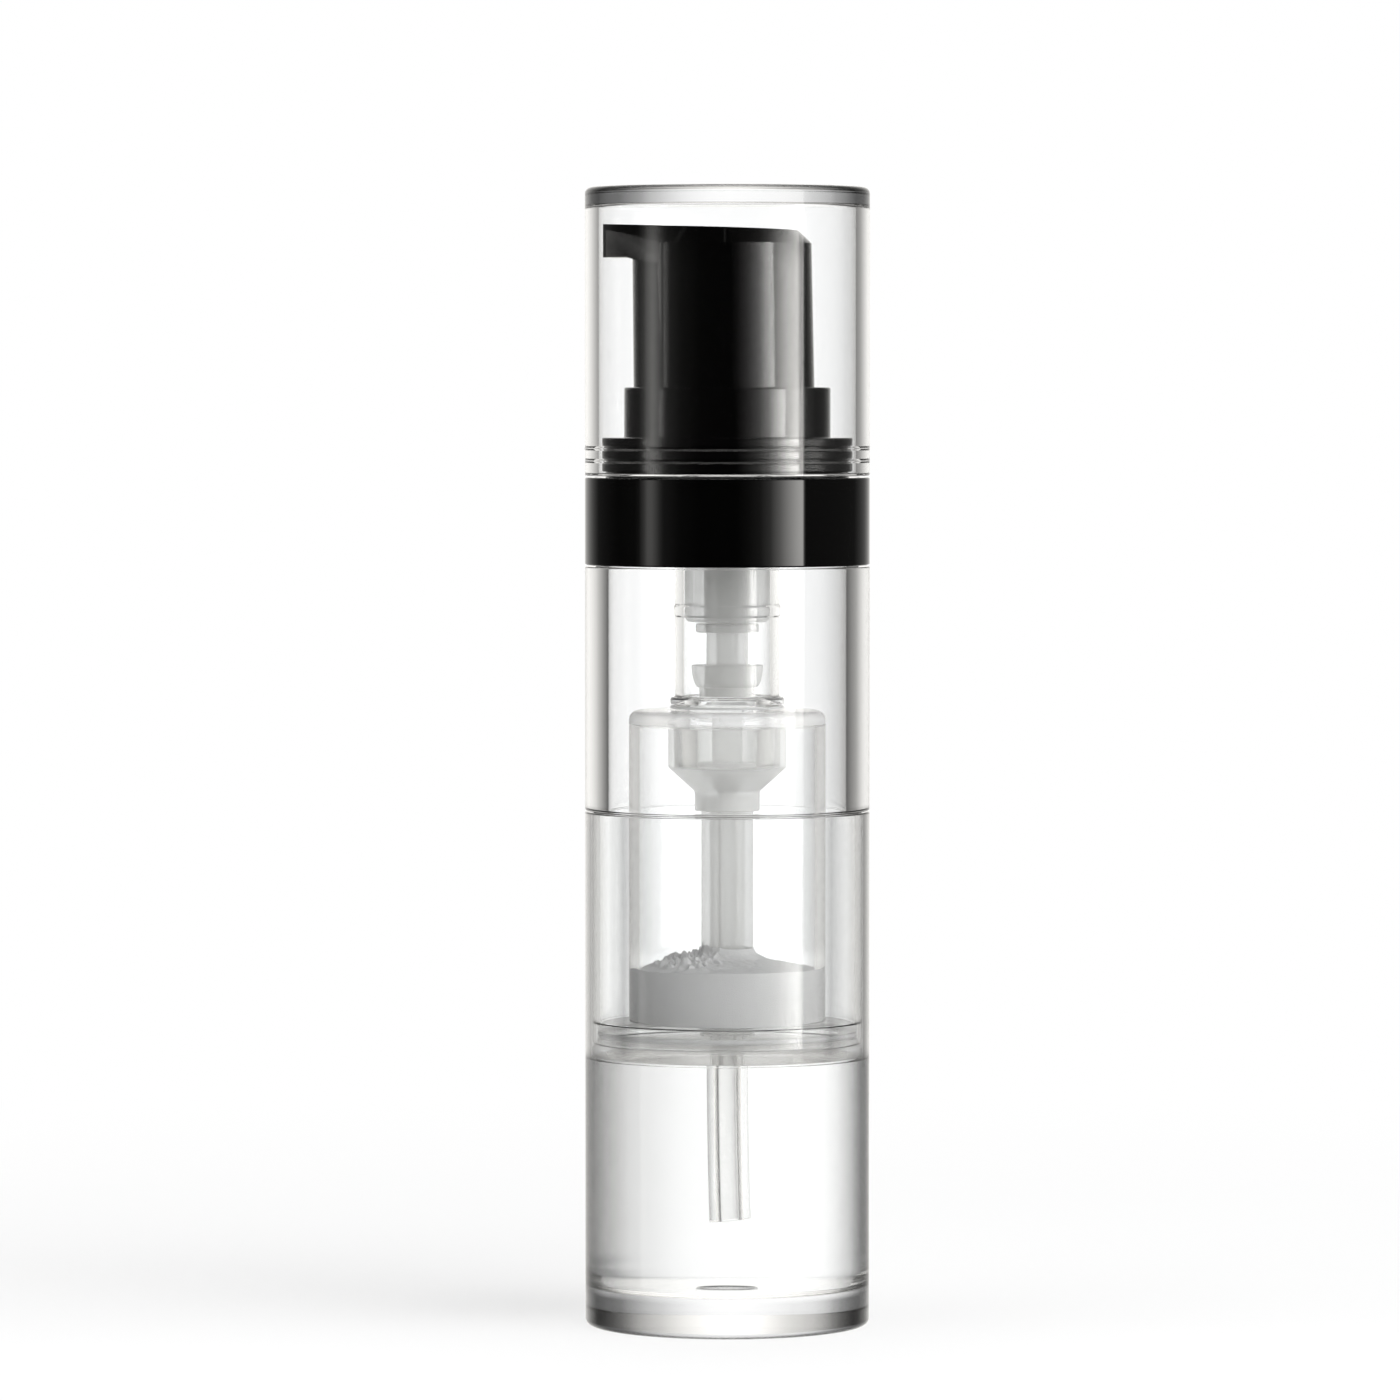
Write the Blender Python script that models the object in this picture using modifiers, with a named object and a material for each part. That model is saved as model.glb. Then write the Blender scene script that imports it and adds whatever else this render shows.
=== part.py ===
"""Skincare pump bottle with two chambers: a powder chamber above a liquid chamber, one pump through both.

The bottle stands on the XY plane with its axis on +Z and its spout towards -X. Lengths are in metres.
"""

import math

import bmesh
import bpy
from mathutils import Matrix, Vector

MM = 0.001

# Clearances
SEAT_GAP = 0.2 * MM  # between faces that rest on each other
PRESS_GAP = 0.15 * MM  # round pieces that are pressed together
SLIDE_GAP = 0.25 * MM  # round pieces that slide or turn
CUT_OVERRUN = 1.0 * MM  # how far a cutter runs past the wall that it cuts

# Roundness
SHELL_STEPS = 40
CORE_STEPS = 24
FINE_STEPS = 20
DRILL_STEPS = 10
BALL_STEPS = 16
SEAL_WIRE_STEPS = 6
FILLET_STEPS = 2
SMOOTH_ANGLE = math.radians(35)

# Body
BODY_RADIUS = 16.5 * MM

# Lower bottle
LOWER_HEIGHT = 59.6 * MM
BASE_THICKNESS = 4.5 * MM
RESERVOIR_WALL = 1.5 * MM
SOCKET_WALL = 0.7 * MM
SOCKET_DEPTH = 28.5 * MM
FOOT_RING_WIDTH = 1.8 * MM
FOOT_RECESS = 0.5 * MM
FOOT_FILLET = 0.8 * MM
FLOOR_FILLET = 1.2 * MM
RIM_FILLET = 0.15 * MM

# Upper bottle
SLEEVE_WALL = 2.7 * MM
SPIGOT_WALL = 0.85 * MM
RIM_HEIGHT = 9.1 * MM
RIM_WALL = 1.4 * MM

# Seal disc and chamber plug, which divide the two chambers
SEAL_DISC_THICKNESS = 1.3 * MM
SEAL_DISC_FILLET = 0.3 * MM
PLUG_THICKNESS = 2.3 * MM
PLUG_WALL_GAP = 0.6 * MM  # the spigot's wall round the plug, with the fit
PLUG_SHEATH_SOCKET = 1.5 * MM
PLUG_GROOVE_DEPTH = 0.75 * MM
PLUG_GROOVE_WIDTH = 0.9 * MM
SEAL_WIRE_RADIUS = 0.33 * MM

# Powder chamber
DOME_SIDE_GAP = 3.4 * MM  # from the spigot's bore to the dome
DOME_HEIGHT = 36.1 * MM
DOME_WALL = 1.2 * MM
DOME_PLATE_THICKNESS = 1.6 * MM
DOME_FILLET = 1.1 * MM
POWDER_EDGE_HEIGHT = 6.2 * MM
POWDER_PEAK_HEIGHT = 8.6 * MM
POWDER_MIDDLE_SHARE = 0.45  # of the way from the tube to the wall
POWDER_MIDDLE_RISE_SHARE = 0.35  # of the rise from the edge to the peak

# Pump housing
HOUSING_RADIUS = 6.05 * MM
HOUSING_WALL = 0.97 * MM
HOUSING_FLANGE_THICKNESS = 1.2 * MM
HOUSING_BORE_LENGTH = 23.5 * MM
BORE_FLOOR_HEIGHT = 0.5 * MM  # above the waist's lower face
PASSAGE_STEP = 0.68 * MM  # from the bore to the passage below it
PASSAGE_DEPTH = 3.1 * MM
OUTLET_STEP = 0.9 * MM  # from the passage to the outlet below it
WAIST_OVERHANG = 0.55 * MM
WAIST_THICKNESS = 0.8 * MM
WAIST_FILLET = 0.3 * MM
DOME_GASKET_THICKNESS = 0.3 * MM
HOUSING_GASKET_THICKNESS = 0.8 * MM
HOUSING_GASKET_WIDTH = 3.0 * MM

# Valve body, ball and cage under the pump housing
VALVE_WALL = 0.66 * MM
VALVE_STRAIGHT = 4.8 * MM
VALVE_CONE = 2.8 * MM
VALVE_NECK_RADIUS = 3.75 * MM
VALVE_NECK = 2.25 * MM
VALVE_SOCKET_DEPTH = 4.9 * MM
CAGE_LEDGE = 0.5 * MM  # on which the cage's disc rests
VALVE_POCKET_DEPTH = 0.9 * MM
SHEATH_SOCKET_DEPTH = 1.5 * MM
INLET_LENGTH = 0.6 * MM
INLET_RADIUS = 1.1 * MM
BALL_RADIUS = 1.3 * MM
BALL_SIDE_GAP = 0.45 * MM
BALL_SEAT_GAP = 0.1 * MM
BALL_SEAT_ANGLE = math.radians(45)
CAGE_THICKNESS = 0.5 * MM
CAGE_POST_RADIUS_SHARE = 0.72  # of the stem
CAGE_POST_HEIGHT = 5.5 * MM
CAGE_HOLES = 4
CAGE_HOLE_RADIUS = 0.45 * MM

# Dip tube and the sheath that carries it through the powder
SHEATH_RADIUS = 3.0 * MM
TUBE_RADIUS = 1.8 * MM
TUBE_BORE_RADIUS = 1.05 * MM
TUBE_END_HEIGHT = 12.4 * MM
TUBE_LEAN = 0.6 * MM
TUBE_STEPS = 6

# Stem, piston and stem guide
HEAD_TRAVEL = 4.5 * MM
PISTON_SIDE_GAP = 0.93 * MM  # from the bore to the lip
PISTON_LIP_DEPTH = 0.3 * MM
PISTON_SKIRT_WALL = 0.55 * MM
PISTON_SKIRT_HEIGHT = 1.6 * MM
PISTON_CUP_HEIGHT = 2.2 * MM
PISTON_CUP_STEPS = 5
STEM_RADIUS_SHARE = 0.478  # of the housing's bore
STEM_WALL = 1.18 * MM
RECESS_SPARE = 0.5 * MM
GUIDE_SHANK_LENGTH = 14.7 * MM
GUIDE_FLANGE_OVERHANG = 0.15 * MM
GUIDE_FLANGE_THICKNESS = 0.7 * MM
GUIDE_FLANGE_WIDTH = 1.3 * MM
GUIDE_BOSS_HEIGHT = 2.3 * MM
GUIDE_FILLET = 0.4 * MM
STEM_SEAL_WIDTH = 0.97 * MM
STEM_SEAL_THICKNESS = 1.0 * MM

# Collar and band
COLLAR_SEAT_THICKNESS = 1.0 * MM
COLLAR_RING_GAP = 0.4 * MM  # from the overcap's bore to the rings
COLLAR_GROOVE_DEPTH = 0.45 * MM
COLLAR_RING_HEIGHT = 1.0 * MM
COLLAR_GROOVE_HEIGHT = 0.45 * MM
COLLAR_FIRST_GROOVE = 0.7 * MM
COLLAR_RINGS = 3
COLLAR_RING_WIDTH = 2.55 * MM  # from the tube's side to the rings' edge
COLLAR_TUBE_WALL = 0.9 * MM
COLLAR_TUBE_HEIGHT = 5.8 * MM
COLLAR_TUBE_FILLET = 0.25 * MM
COLLAR_WEB_THICKNESS = 1.4 * MM
COLLAR_WEB_HOLE_GAP = 0.4 * MM
COLLAR_SKIRT_LENGTH = 8.3 * MM
COLLAR_SKIRT_WALL = 1.2 * MM
COLLAR_BEAD = 0.45 * MM
COLLAR_BEAD_HEIGHT = 0.7 * MM

# Actuator
ACTUATOR_SIDE_GAP = 0.65 * MM  # from the collar tube's bore to the skirt
ACTUATOR_DRAFT = 0.35 * MM
ACTUATOR_WALL = 0.95 * MM
ACTUATOR_OVERLAP = 2.0 * MM  # how deep the skirt starts in the collar tube
ACTUATOR_HEIGHT = 20.1 * MM  # skirt's lower edge to the top's back edge
ACTUATOR_CHAMFER = 1.5 * MM
ACTUATOR_ROOF = 5.3 * MM
TOP_SLOPE = 0.031  # rise of the top per length towards the spout
BOSS_EDGE = 0.2 * MM  # beyond the spring's side
BOSS_LENGTH = 9.2 * MM
STEM_SOCKET_DEPTH = 4.9 * MM
SPOUT_CAP_GAP = 0.5 * MM  # from the overcap's bore to the spout's tip
SPOUT_TIP_WIDTH = 5.6 * MM
SPOUT_TIP_HEIGHT = 3.85 * MM
SPOUT_ROOT_DROP = 0.7 * MM
SPOUT_TIP_LENGTH = 3.0 * MM  # level underside, up to the step
SPOUT_STEP_LENGTH = 2.2 * MM
SPOUT_TIP_STEPS = 5
CHANNEL_RADIUS = 1.0 * MM
CHANNEL_DEPTH = 2.1 * MM  # below the top, at the spout's tip
OUTLET_SETBACK = 2.0 * MM

# Return spring
SPRING_SIDE_GAP = 1.17 * MM  # from the stem to the coils
SPRING_WIRE_RADIUS = 0.3 * MM
SPRING_TURNS = 7
SPRING_TURN_POINTS = 10

# Overcap
CAP_WALL = 1.6 * MM
CAP_HEADROOM = 3.0 * MM  # from the top's back edge to the cap's roof
CAP_ROOF = 2.0 * MM
CAP_FILLET = 0.6 * MM
CAP_BEAD = 0.2 * MM
CAP_BEAD_HALF_HEIGHT = 0.35 * MM
CAP_LEAD_IN = 0.3 * MM

# Radii that follow from the body's and the fits
SOCKET_RADIUS = BODY_RADIUS - SOCKET_WALL
RESERVOIR_RADIUS = BODY_RADIUS - RESERVOIR_WALL
SLEEVE_BORE_RADIUS = BODY_RADIUS - SLEEVE_WALL
SPIGOT_RADIUS = SOCKET_RADIUS - PRESS_GAP
SPIGOT_BORE_RADIUS = SPIGOT_RADIUS - SPIGOT_WALL
RIM_RADIUS = SLEEVE_BORE_RADIUS + RIM_WALL
DOME_RADIUS = SPIGOT_BORE_RADIUS - DOME_SIDE_GAP
DOME_BORE_RADIUS = DOME_RADIUS - DOME_WALL
HOUSING_BORE_RADIUS = HOUSING_RADIUS - HOUSING_WALL
PASSAGE_RADIUS = HOUSING_BORE_RADIUS - PASSAGE_STEP
OUTLET_RADIUS = PASSAGE_RADIUS - OUTLET_STEP
WAIST_RADIUS = HOUSING_RADIUS + WAIST_OVERHANG
VALVE_POCKET_RADIUS = OUTLET_RADIUS - CAGE_LEDGE
GUIDE_RADIUS = HOUSING_BORE_RADIUS - PRESS_GAP
STEM_RADIUS = HOUSING_BORE_RADIUS * STEM_RADIUS_SHARE
SLEEVED_STEM_RADIUS = STEM_RADIUS + SLIDE_GAP
STEM_BORE_RADIUS = STEM_RADIUS - STEM_WALL
CAGE_POST_RADIUS = STEM_RADIUS * CAGE_POST_RADIUS_SHARE
STEM_RECESS_RADIUS = CAGE_POST_RADIUS + SLIDE_GAP
SPRING_RADIUS = STEM_RADIUS + SPRING_SIDE_GAP + SPRING_WIRE_RADIUS
BOSS_RADIUS = SPRING_RADIUS + SPRING_WIRE_RADIUS + BOSS_EDGE
STEM_SEAL_RADIUS = SLEEVED_STEM_RADIUS + STEM_SEAL_WIDTH
PISTON_SKIRT_RADIUS = SLEEVED_STEM_RADIUS + PISTON_SKIRT_WALL
GUIDE_FLANGE_RADIUS = HOUSING_RADIUS + GUIDE_FLANGE_OVERHANG
GUIDE_BOSS_RADIUS = GUIDE_FLANGE_RADIUS - GUIDE_FLANGE_WIDTH
PISTON_LIP_RADIUS = HOUSING_BORE_RADIUS - PISTON_SIDE_GAP
SHEATH_BORE_RADIUS = TUBE_RADIUS + SLIDE_GAP
VALVE_SOCKET_RADIUS = HOUSING_RADIUS + PRESS_GAP
VALVE_RADIUS = VALVE_SOCKET_RADIUS + VALVE_WALL
PLUG_SOCKET_RADIUS = SPIGOT_RADIUS - PLUG_WALL_GAP + PRESS_GAP
PLUG_RADIUS = SPIGOT_RADIUS - PLUG_WALL_GAP
PLUG_GROOVE_RADIUS = PLUG_RADIUS - PLUG_GROOVE_DEPTH
COLLAR_SKIRT_RADIUS = SLEEVE_BORE_RADIUS - PRESS_GAP
COLLAR_SKIRT_BORE_RADIUS = COLLAR_SKIRT_RADIUS - COLLAR_SKIRT_WALL
HOUSING_FLANGE_RADIUS = COLLAR_SKIRT_BORE_RADIUS - SEAT_GAP
HOUSING_GASKET_RADIUS = HOUSING_FLANGE_RADIUS - HOUSING_GASKET_WIDTH
CAP_BORE_RADIUS = BODY_RADIUS - CAP_WALL
COLLAR_RING_RADIUS = CAP_BORE_RADIUS - COLLAR_RING_GAP
COLLAR_GROOVE_RADIUS = COLLAR_RING_RADIUS - COLLAR_GROOVE_DEPTH
COLLAR_TUBE_RADIUS = COLLAR_RING_RADIUS - COLLAR_RING_WIDTH
COLLAR_TUBE_BORE_RADIUS = COLLAR_TUBE_RADIUS - COLLAR_TUBE_WALL
ACTUATOR_RADIUS = COLLAR_TUBE_BORE_RADIUS - ACTUATOR_SIDE_GAP
ACTUATOR_TOP_RADIUS = ACTUATOR_RADIUS - ACTUATOR_DRAFT
SPOUT_REACH = CAP_BORE_RADIUS - SPOUT_CAP_GAP
SPOUT_DIP_REACH = SPOUT_REACH - SPOUT_TIP_LENGTH
SPOUT_ROOT_REACH = SPOUT_DIP_REACH - SPOUT_STEP_LENGTH
BALL_POCKET_RADIUS = BALL_RADIUS + BALL_SIDE_GAP

# Heights, from the table up
LEDGE_Z = LOWER_HEIGHT - SOCKET_DEPTH
SEAL_DISC_Z = LEDGE_Z + SEAT_GAP
SEAL_DISC_TOP_Z = SEAL_DISC_Z + SEAL_DISC_THICKNESS
SPIGOT_Z = SEAL_DISC_TOP_Z + SEAT_GAP
PLUG_Z = SEAL_DISC_TOP_Z + SEAT_GAP
PLUG_TOP_Z = PLUG_Z + PLUG_THICKNESS
PLUG_SOCKET_TOP_Z = PLUG_TOP_Z + SEAT_GAP
SLEEVE_Z = LOWER_HEIGHT + SEAT_GAP
DOME_Z = PLUG_TOP_Z + SEAT_GAP
DOME_TOP_Z = DOME_Z + DOME_HEIGHT
DOME_PLATE_Z = DOME_TOP_Z - DOME_PLATE_THICKNESS
DOME_GASKET_Z = DOME_TOP_Z + SEAT_GAP
WAIST_Z = DOME_GASKET_Z + DOME_GASKET_THICKNESS + SEAT_GAP
BORE_FLOOR_Z = WAIST_Z + BORE_FLOOR_HEIGHT
HOUSING_TOP_Z = BORE_FLOOR_Z + HOUSING_BORE_LENGTH
HOUSING_FLANGE_Z = HOUSING_TOP_Z - HOUSING_FLANGE_THICKNESS
HOUSING_GASKET_Z = HOUSING_TOP_Z + SEAT_GAP
RIM_Z = HOUSING_GASKET_Z + HOUSING_GASKET_THICKNESS
SHOULDER_Z = RIM_Z - RIM_HEIGHT
PASSAGE_Z = BORE_FLOOR_Z - PASSAGE_DEPTH
VALVE_TOP_Z = DOME_PLATE_Z - SEAT_GAP
VALVE_SOCKET_Z = VALVE_TOP_Z - VALVE_SOCKET_DEPTH
VALVE_CONE_Z = VALVE_TOP_Z - VALVE_STRAIGHT
VALVE_NECK_Z = VALVE_CONE_Z - VALVE_CONE
VALVE_Z = VALVE_NECK_Z - VALVE_NECK
SHEATH_STOP_Z = VALVE_Z + SHEATH_SOCKET_DEPTH
INLET_Z = SHEATH_STOP_Z + INLET_LENGTH
HOUSING_Z = VALVE_SOCKET_Z + SEAT_GAP
CAGE_Z = VALVE_SOCKET_Z + SEAT_GAP
CAGE_TOP_Z = CAGE_Z + CAGE_THICKNESS
CAGE_POST_TOP_Z = CAGE_TOP_Z + CAGE_POST_HEIGHT
BALL_Z = INLET_Z - INLET_RADIUS + (BALL_RADIUS + BALL_SEAT_GAP) / math.sin(BALL_SEAT_ANGLE)
SHEATH_TOP_Z = SHEATH_STOP_Z - SEAT_GAP
SHEATH_SEAT_Z = PLUG_TOP_Z - PLUG_SHEATH_SOCKET
SHEATH_Z = SHEATH_SEAT_Z + SEAT_GAP
COLLAR_SEAT_Z = RIM_Z + SEAT_GAP
COLLAR_SEAT_TOP_Z = COLLAR_SEAT_Z + COLLAR_SEAT_THICKNESS
COLLAR_RINGS_TOP_Z = (
    COLLAR_SEAT_TOP_Z
    + COLLAR_FIRST_GROOVE
    + COLLAR_RINGS * COLLAR_RING_HEIGHT
    + (COLLAR_RINGS - 1) * COLLAR_GROOVE_HEIGHT
)
COLLAR_TOP_Z = COLLAR_RINGS_TOP_Z + COLLAR_TUBE_HEIGHT
COLLAR_SKIRT_Z = COLLAR_SEAT_TOP_Z - COLLAR_SKIRT_LENGTH
COLLAR_WEB_Z = COLLAR_SEAT_Z
COLLAR_WEB_TOP_Z = COLLAR_WEB_Z + COLLAR_WEB_THICKNESS
BAND_Z = SHOULDER_Z + SEAT_GAP
BAND_TOP_Z = COLLAR_SEAT_TOP_Z
COLLAR_BEAD_Z = HOUSING_FLANGE_Z - SEAT_GAP - COLLAR_BEAD_HEIGHT
GUIDE_FLANGE_Z = HOUSING_TOP_Z + SEAT_GAP
GUIDE_FLANGE_TOP_Z = GUIDE_FLANGE_Z + GUIDE_FLANGE_THICKNESS
GUIDE_TOP_Z = GUIDE_FLANGE_TOP_Z + GUIDE_BOSS_HEIGHT
GUIDE_Z = GUIDE_FLANGE_Z - GUIDE_SHANK_LENGTH
STEM_SEAL_Z = GUIDE_Z - SEAT_GAP - STEM_SEAL_THICKNESS
PISTON_Z = BORE_FLOOR_Z + SEAT_GAP
PISTON_CUP_Z = PISTON_Z + PISTON_SKIRT_HEIGHT
PISTON_TOP_Z = PISTON_CUP_Z + PISTON_CUP_HEIGHT
ACTUATOR_Z = COLLAR_TOP_Z - ACTUATOR_OVERLAP
ACTUATOR_TOP_Z = ACTUATOR_Z + ACTUATOR_HEIGHT
ACTUATOR_ROOF_Z = ACTUATOR_TOP_Z - ACTUATOR_ROOF
BOSS_Z = ACTUATOR_ROOF_Z - BOSS_LENGTH
STEM_SOCKET_Z = BOSS_Z + STEM_SOCKET_DEPTH
STEM_TOP_Z = STEM_SOCKET_Z - SEAT_GAP
CAP_Z = BAND_TOP_Z + SEAT_GAP
CAP_TOP_Z = ACTUATOR_TOP_Z + CAP_HEADROOM + CAP_ROOF

PLASTICS = {}


def plastic(name, colour, roughness, transmission=0.0):
    """A Principled material, made once for each name."""
    if name in PLASTICS:
        return PLASTICS[name]
    made = bpy.data.materials.new(name)
    made.use_nodes = True
    shader = made.node_tree.nodes["Principled BSDF"]
    shader.inputs["Base Color"].default_value = (*colour, 1.0)
    shader.inputs["Roughness"].default_value = roughness
    shader.inputs["Metallic"].default_value = 0.0
    shader.inputs["Transmission Weight"].default_value = transmission
    made.diffuse_color = (*colour, 1.0)
    PLASTICS[name] = made
    return made


def clear_plastic():
    return plastic("clear_plastic", (0.95, 0.96, 0.96), 0.02, transmission=1.0)


def black_plastic():
    return plastic("black_plastic", (0.012, 0.012, 0.013), 0.18)


def milky_plastic():
    return plastic("milky_plastic", (0.82, 0.83, 0.83), 0.35, transmission=0.5)


def tube_plastic():
    return plastic("tube_plastic", (0.9, 0.9, 0.88), 0.15, transmission=0.8)


def seal_rubber():
    return plastic("seal_rubber", (0.85, 0.86, 0.86), 0.4, transmission=0.3)


def spring_steel():
    made = plastic("spring_steel", (0.7, 0.7, 0.7), 0.25)
    made.node_tree.nodes["Principled BSDF"].inputs["Metallic"].default_value = 1.0
    return made


def powder():
    return plastic("powder", (0.86, 0.86, 0.86), 0.9)


def collection(name):
    """A collection of this name in the scene."""
    found = bpy.data.collections.get(name)
    if found is None:
        found = bpy.data.collections.new(name)
        bpy.context.scene.collection.children.link(found)
    return found


def put(obj, finish=None):
    """Moves an object into the bottle's collection and gives it its material."""
    for holder in list(obj.users_collection):
        holder.objects.unlink(obj)
    collection("skincare_pump_bottle").objects.link(obj)
    if finish is not None:
        obj.data.materials.clear()
        obj.data.materials.append(finish)
    return obj


def put_away(obj):
    """Moves a cutter into the cutters' collection and hides it from renders."""
    for holder in list(obj.users_collection):
        holder.objects.unlink(obj)
    collection("cutters").objects.link(obj)
    obj.hide_render = True
    obj.display_type = "WIRE"
    return obj


def rounded(corners, closed=True):
    """Points of an outline. A corner is (radius, height), or (radius, height, fillet)."""
    points = []
    for index, corner in enumerate(corners):
        here = Vector(corner[:2])
        fillet = corner[2] if len(corner) > 2 else 0
        is_end = not closed and index in (0, len(corners) - 1)
        if is_end or not fillet:
            points.append(here)
            continue
        before = (Vector(corners[index - 1][:2]) - here).normalized()
        after = (Vector(corners[(index + 1) % len(corners)][:2]) - here).normalized()
        half_angle = before.angle(after) / 2
        centre = here + (before + after).normalized() * (fillet / math.sin(half_angle))
        start = here + before * (fillet / math.tan(half_angle)) - centre
        end = here + after * (fillet / math.tan(half_angle)) - centre
        turn = math.atan2(start.x * end.y - start.y * end.x, start.dot(end))
        for step in range(FILLET_STEPS + 1):
            points.append(centre + Matrix.Rotation(turn * step / FILLET_STEPS, 2) @ start)
    return points


def turned(name, corners, steps, closed=True):
    """A solid turned about +Z from an outline that runs down its outer side."""
    points = rounded(corners, closed)
    edges = [(i, i + 1) for i in range(len(points) - 1)]
    if closed:
        edges.append((len(points) - 1, 0))
    mesh = bpy.data.meshes.new(name)
    mesh.from_pydata([(point.x, 0, point.y) for point in points], edges, [])
    obj = bpy.data.objects.new(name, mesh)
    bpy.context.scene.collection.objects.link(obj)
    screw = obj.modifiers.new("Turn", "SCREW")
    screw.steps = steps
    screw.render_steps = steps
    screw.use_merge_vertices = True
    screw.merge_threshold = 0.005 * MM
    return obj


def sweep(obj):
    """Turns an object's modifiers into its mesh, shaded smooth between its sharp edges."""
    evaluated = obj.evaluated_get(bpy.context.evaluated_depsgraph_get())
    mesh = bpy.data.meshes.new_from_object(evaluated)
    obj.modifiers.clear()
    obj.data = mesh
    mesh.shade_smooth()
    mesh.set_sharp_from_angle(angle=SMOOTH_ANGLE)
    return obj


def cut(obj, cutter, operation="DIFFERENCE"):
    """Adds a Boolean of obj with cutter, and puts the cutter away."""
    boolean = obj.modifiers.new(cutter.name, "BOOLEAN")
    boolean.operation = operation
    boolean.object = put_away(cutter)
    return obj


def rod(name, radius, start, end, steps):
    """A plain round rod between two points, for cutting holes."""
    start = Vector(start)
    end = Vector(end)
    bm = bmesh.new()
    bmesh.ops.create_cone(
        bm, cap_ends=True, segments=steps, radius1=radius, radius2=radius, depth=(end - start).length
    )
    mesh = bpy.data.meshes.new(name)
    bm.to_mesh(mesh)
    bm.free()
    obj = bpy.data.objects.new(name, mesh)
    bpy.context.scene.collection.objects.link(obj)
    obj.location = (start + end) / 2
    obj.rotation_mode = "QUATERNION"
    obj.rotation_quaternion = (end - start).to_track_quat("Z", "Y")
    return obj


def extruded(name, outline, thickness):
    """A flat outline in the XY plane, as thick as this on both sides of it together."""
    curve = bpy.data.curves.new(name, "CURVE")
    curve.dimensions = "2D"
    curve.fill_mode = "BOTH"
    curve.extrude = thickness / 2
    spline = curve.splines.new("POLY")
    spline.points.add(len(outline) - 1)
    for point, place in zip(spline.points, outline):
        point.co = (place[0], place[1], 0, 1)
    spline.use_cyclic_u = True
    obj = bpy.data.objects.new(name, curve)
    bpy.context.scene.collection.objects.link(obj)
    return obj


def to_mesh(obj):
    """The curve object as a mesh object with welded caps, in the same place."""
    bpy.context.view_layer.update()
    evaluated = obj.evaluated_get(bpy.context.evaluated_depsgraph_get())
    mesh = bpy.data.meshes.new_from_object(evaluated)
    bm = bmesh.new()
    bm.from_mesh(mesh)
    bmesh.ops.remove_doubles(bm, verts=bm.verts, dist=0.005 * MM)
    bm.to_mesh(mesh)
    bm.free()
    name = obj.name
    matrix = obj.matrix_world.copy()
    bpy.data.objects.remove(obj)
    made = bpy.data.objects.new(name, mesh)
    made.matrix_world = matrix
    bpy.context.scene.collection.objects.link(made)
    return made


def build_lower_bottle():
    """The liquid chamber: thick foot, a wide bore, and a thin-walled socket above its ledge."""
    foot_bore_radius = BODY_RADIUS - FOOT_RING_WIDTH
    bottle = turned(
        "lower_bottle",
        [
            (0, BASE_THICKNESS),
            (RESERVOIR_RADIUS, BASE_THICKNESS, FLOOR_FILLET),
            (RESERVOIR_RADIUS, LEDGE_Z),
            (SOCKET_RADIUS, LEDGE_Z),
            (SOCKET_RADIUS, LOWER_HEIGHT, RIM_FILLET),
            (BODY_RADIUS, LOWER_HEIGHT, RIM_FILLET),
            (BODY_RADIUS, 0, FOOT_FILLET),
            (foot_bore_radius, 0),
            (foot_bore_radius - FOOT_RECESS, FOOT_RECESS),
            (0, FOOT_RECESS),
        ],
        SHELL_STEPS,
        closed=False,
    )
    return put(sweep(bottle), clear_plastic())


def build_upper_bottle():
    """The thick sleeve, the rim that the band hides, and the spigot that plugs into the lower bottle."""
    bottle = turned(
        "upper_bottle",
        [
            (SLEEVE_BORE_RADIUS, RIM_Z),
            (RIM_RADIUS, RIM_Z, RIM_FILLET),
            (RIM_RADIUS, SHOULDER_Z),
            (BODY_RADIUS, SHOULDER_Z, RIM_FILLET),
            (BODY_RADIUS, SLEEVE_Z, RIM_FILLET),
            (SPIGOT_RADIUS, SLEEVE_Z),
            (SPIGOT_RADIUS, SPIGOT_Z),
            (PLUG_SOCKET_RADIUS, SPIGOT_Z),
            (PLUG_SOCKET_RADIUS, PLUG_SOCKET_TOP_Z),
            (SPIGOT_BORE_RADIUS, PLUG_SOCKET_TOP_Z),
            (SPIGOT_BORE_RADIUS, SLEEVE_Z),
            (SLEEVE_BORE_RADIUS, SLEEVE_Z),
        ],
        SHELL_STEPS,
    )
    return put(sweep(bottle), clear_plastic())


def build_seal_disc():
    """The translucent disc that closes the powder chamber from below, on the lower bottle's ledge."""
    bore_radius = TUBE_RADIUS + SLIDE_GAP
    disc = turned(
        "seal_disc",
        [
            (bore_radius, SEAL_DISC_TOP_Z),
            (SPIGOT_RADIUS, SEAL_DISC_TOP_Z),
            (SPIGOT_RADIUS, SEAL_DISC_Z, SEAL_DISC_FILLET),
            (bore_radius, SEAL_DISC_Z),
        ],
        SHELL_STEPS,
    )
    return put(sweep(disc), milky_plastic())


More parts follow.
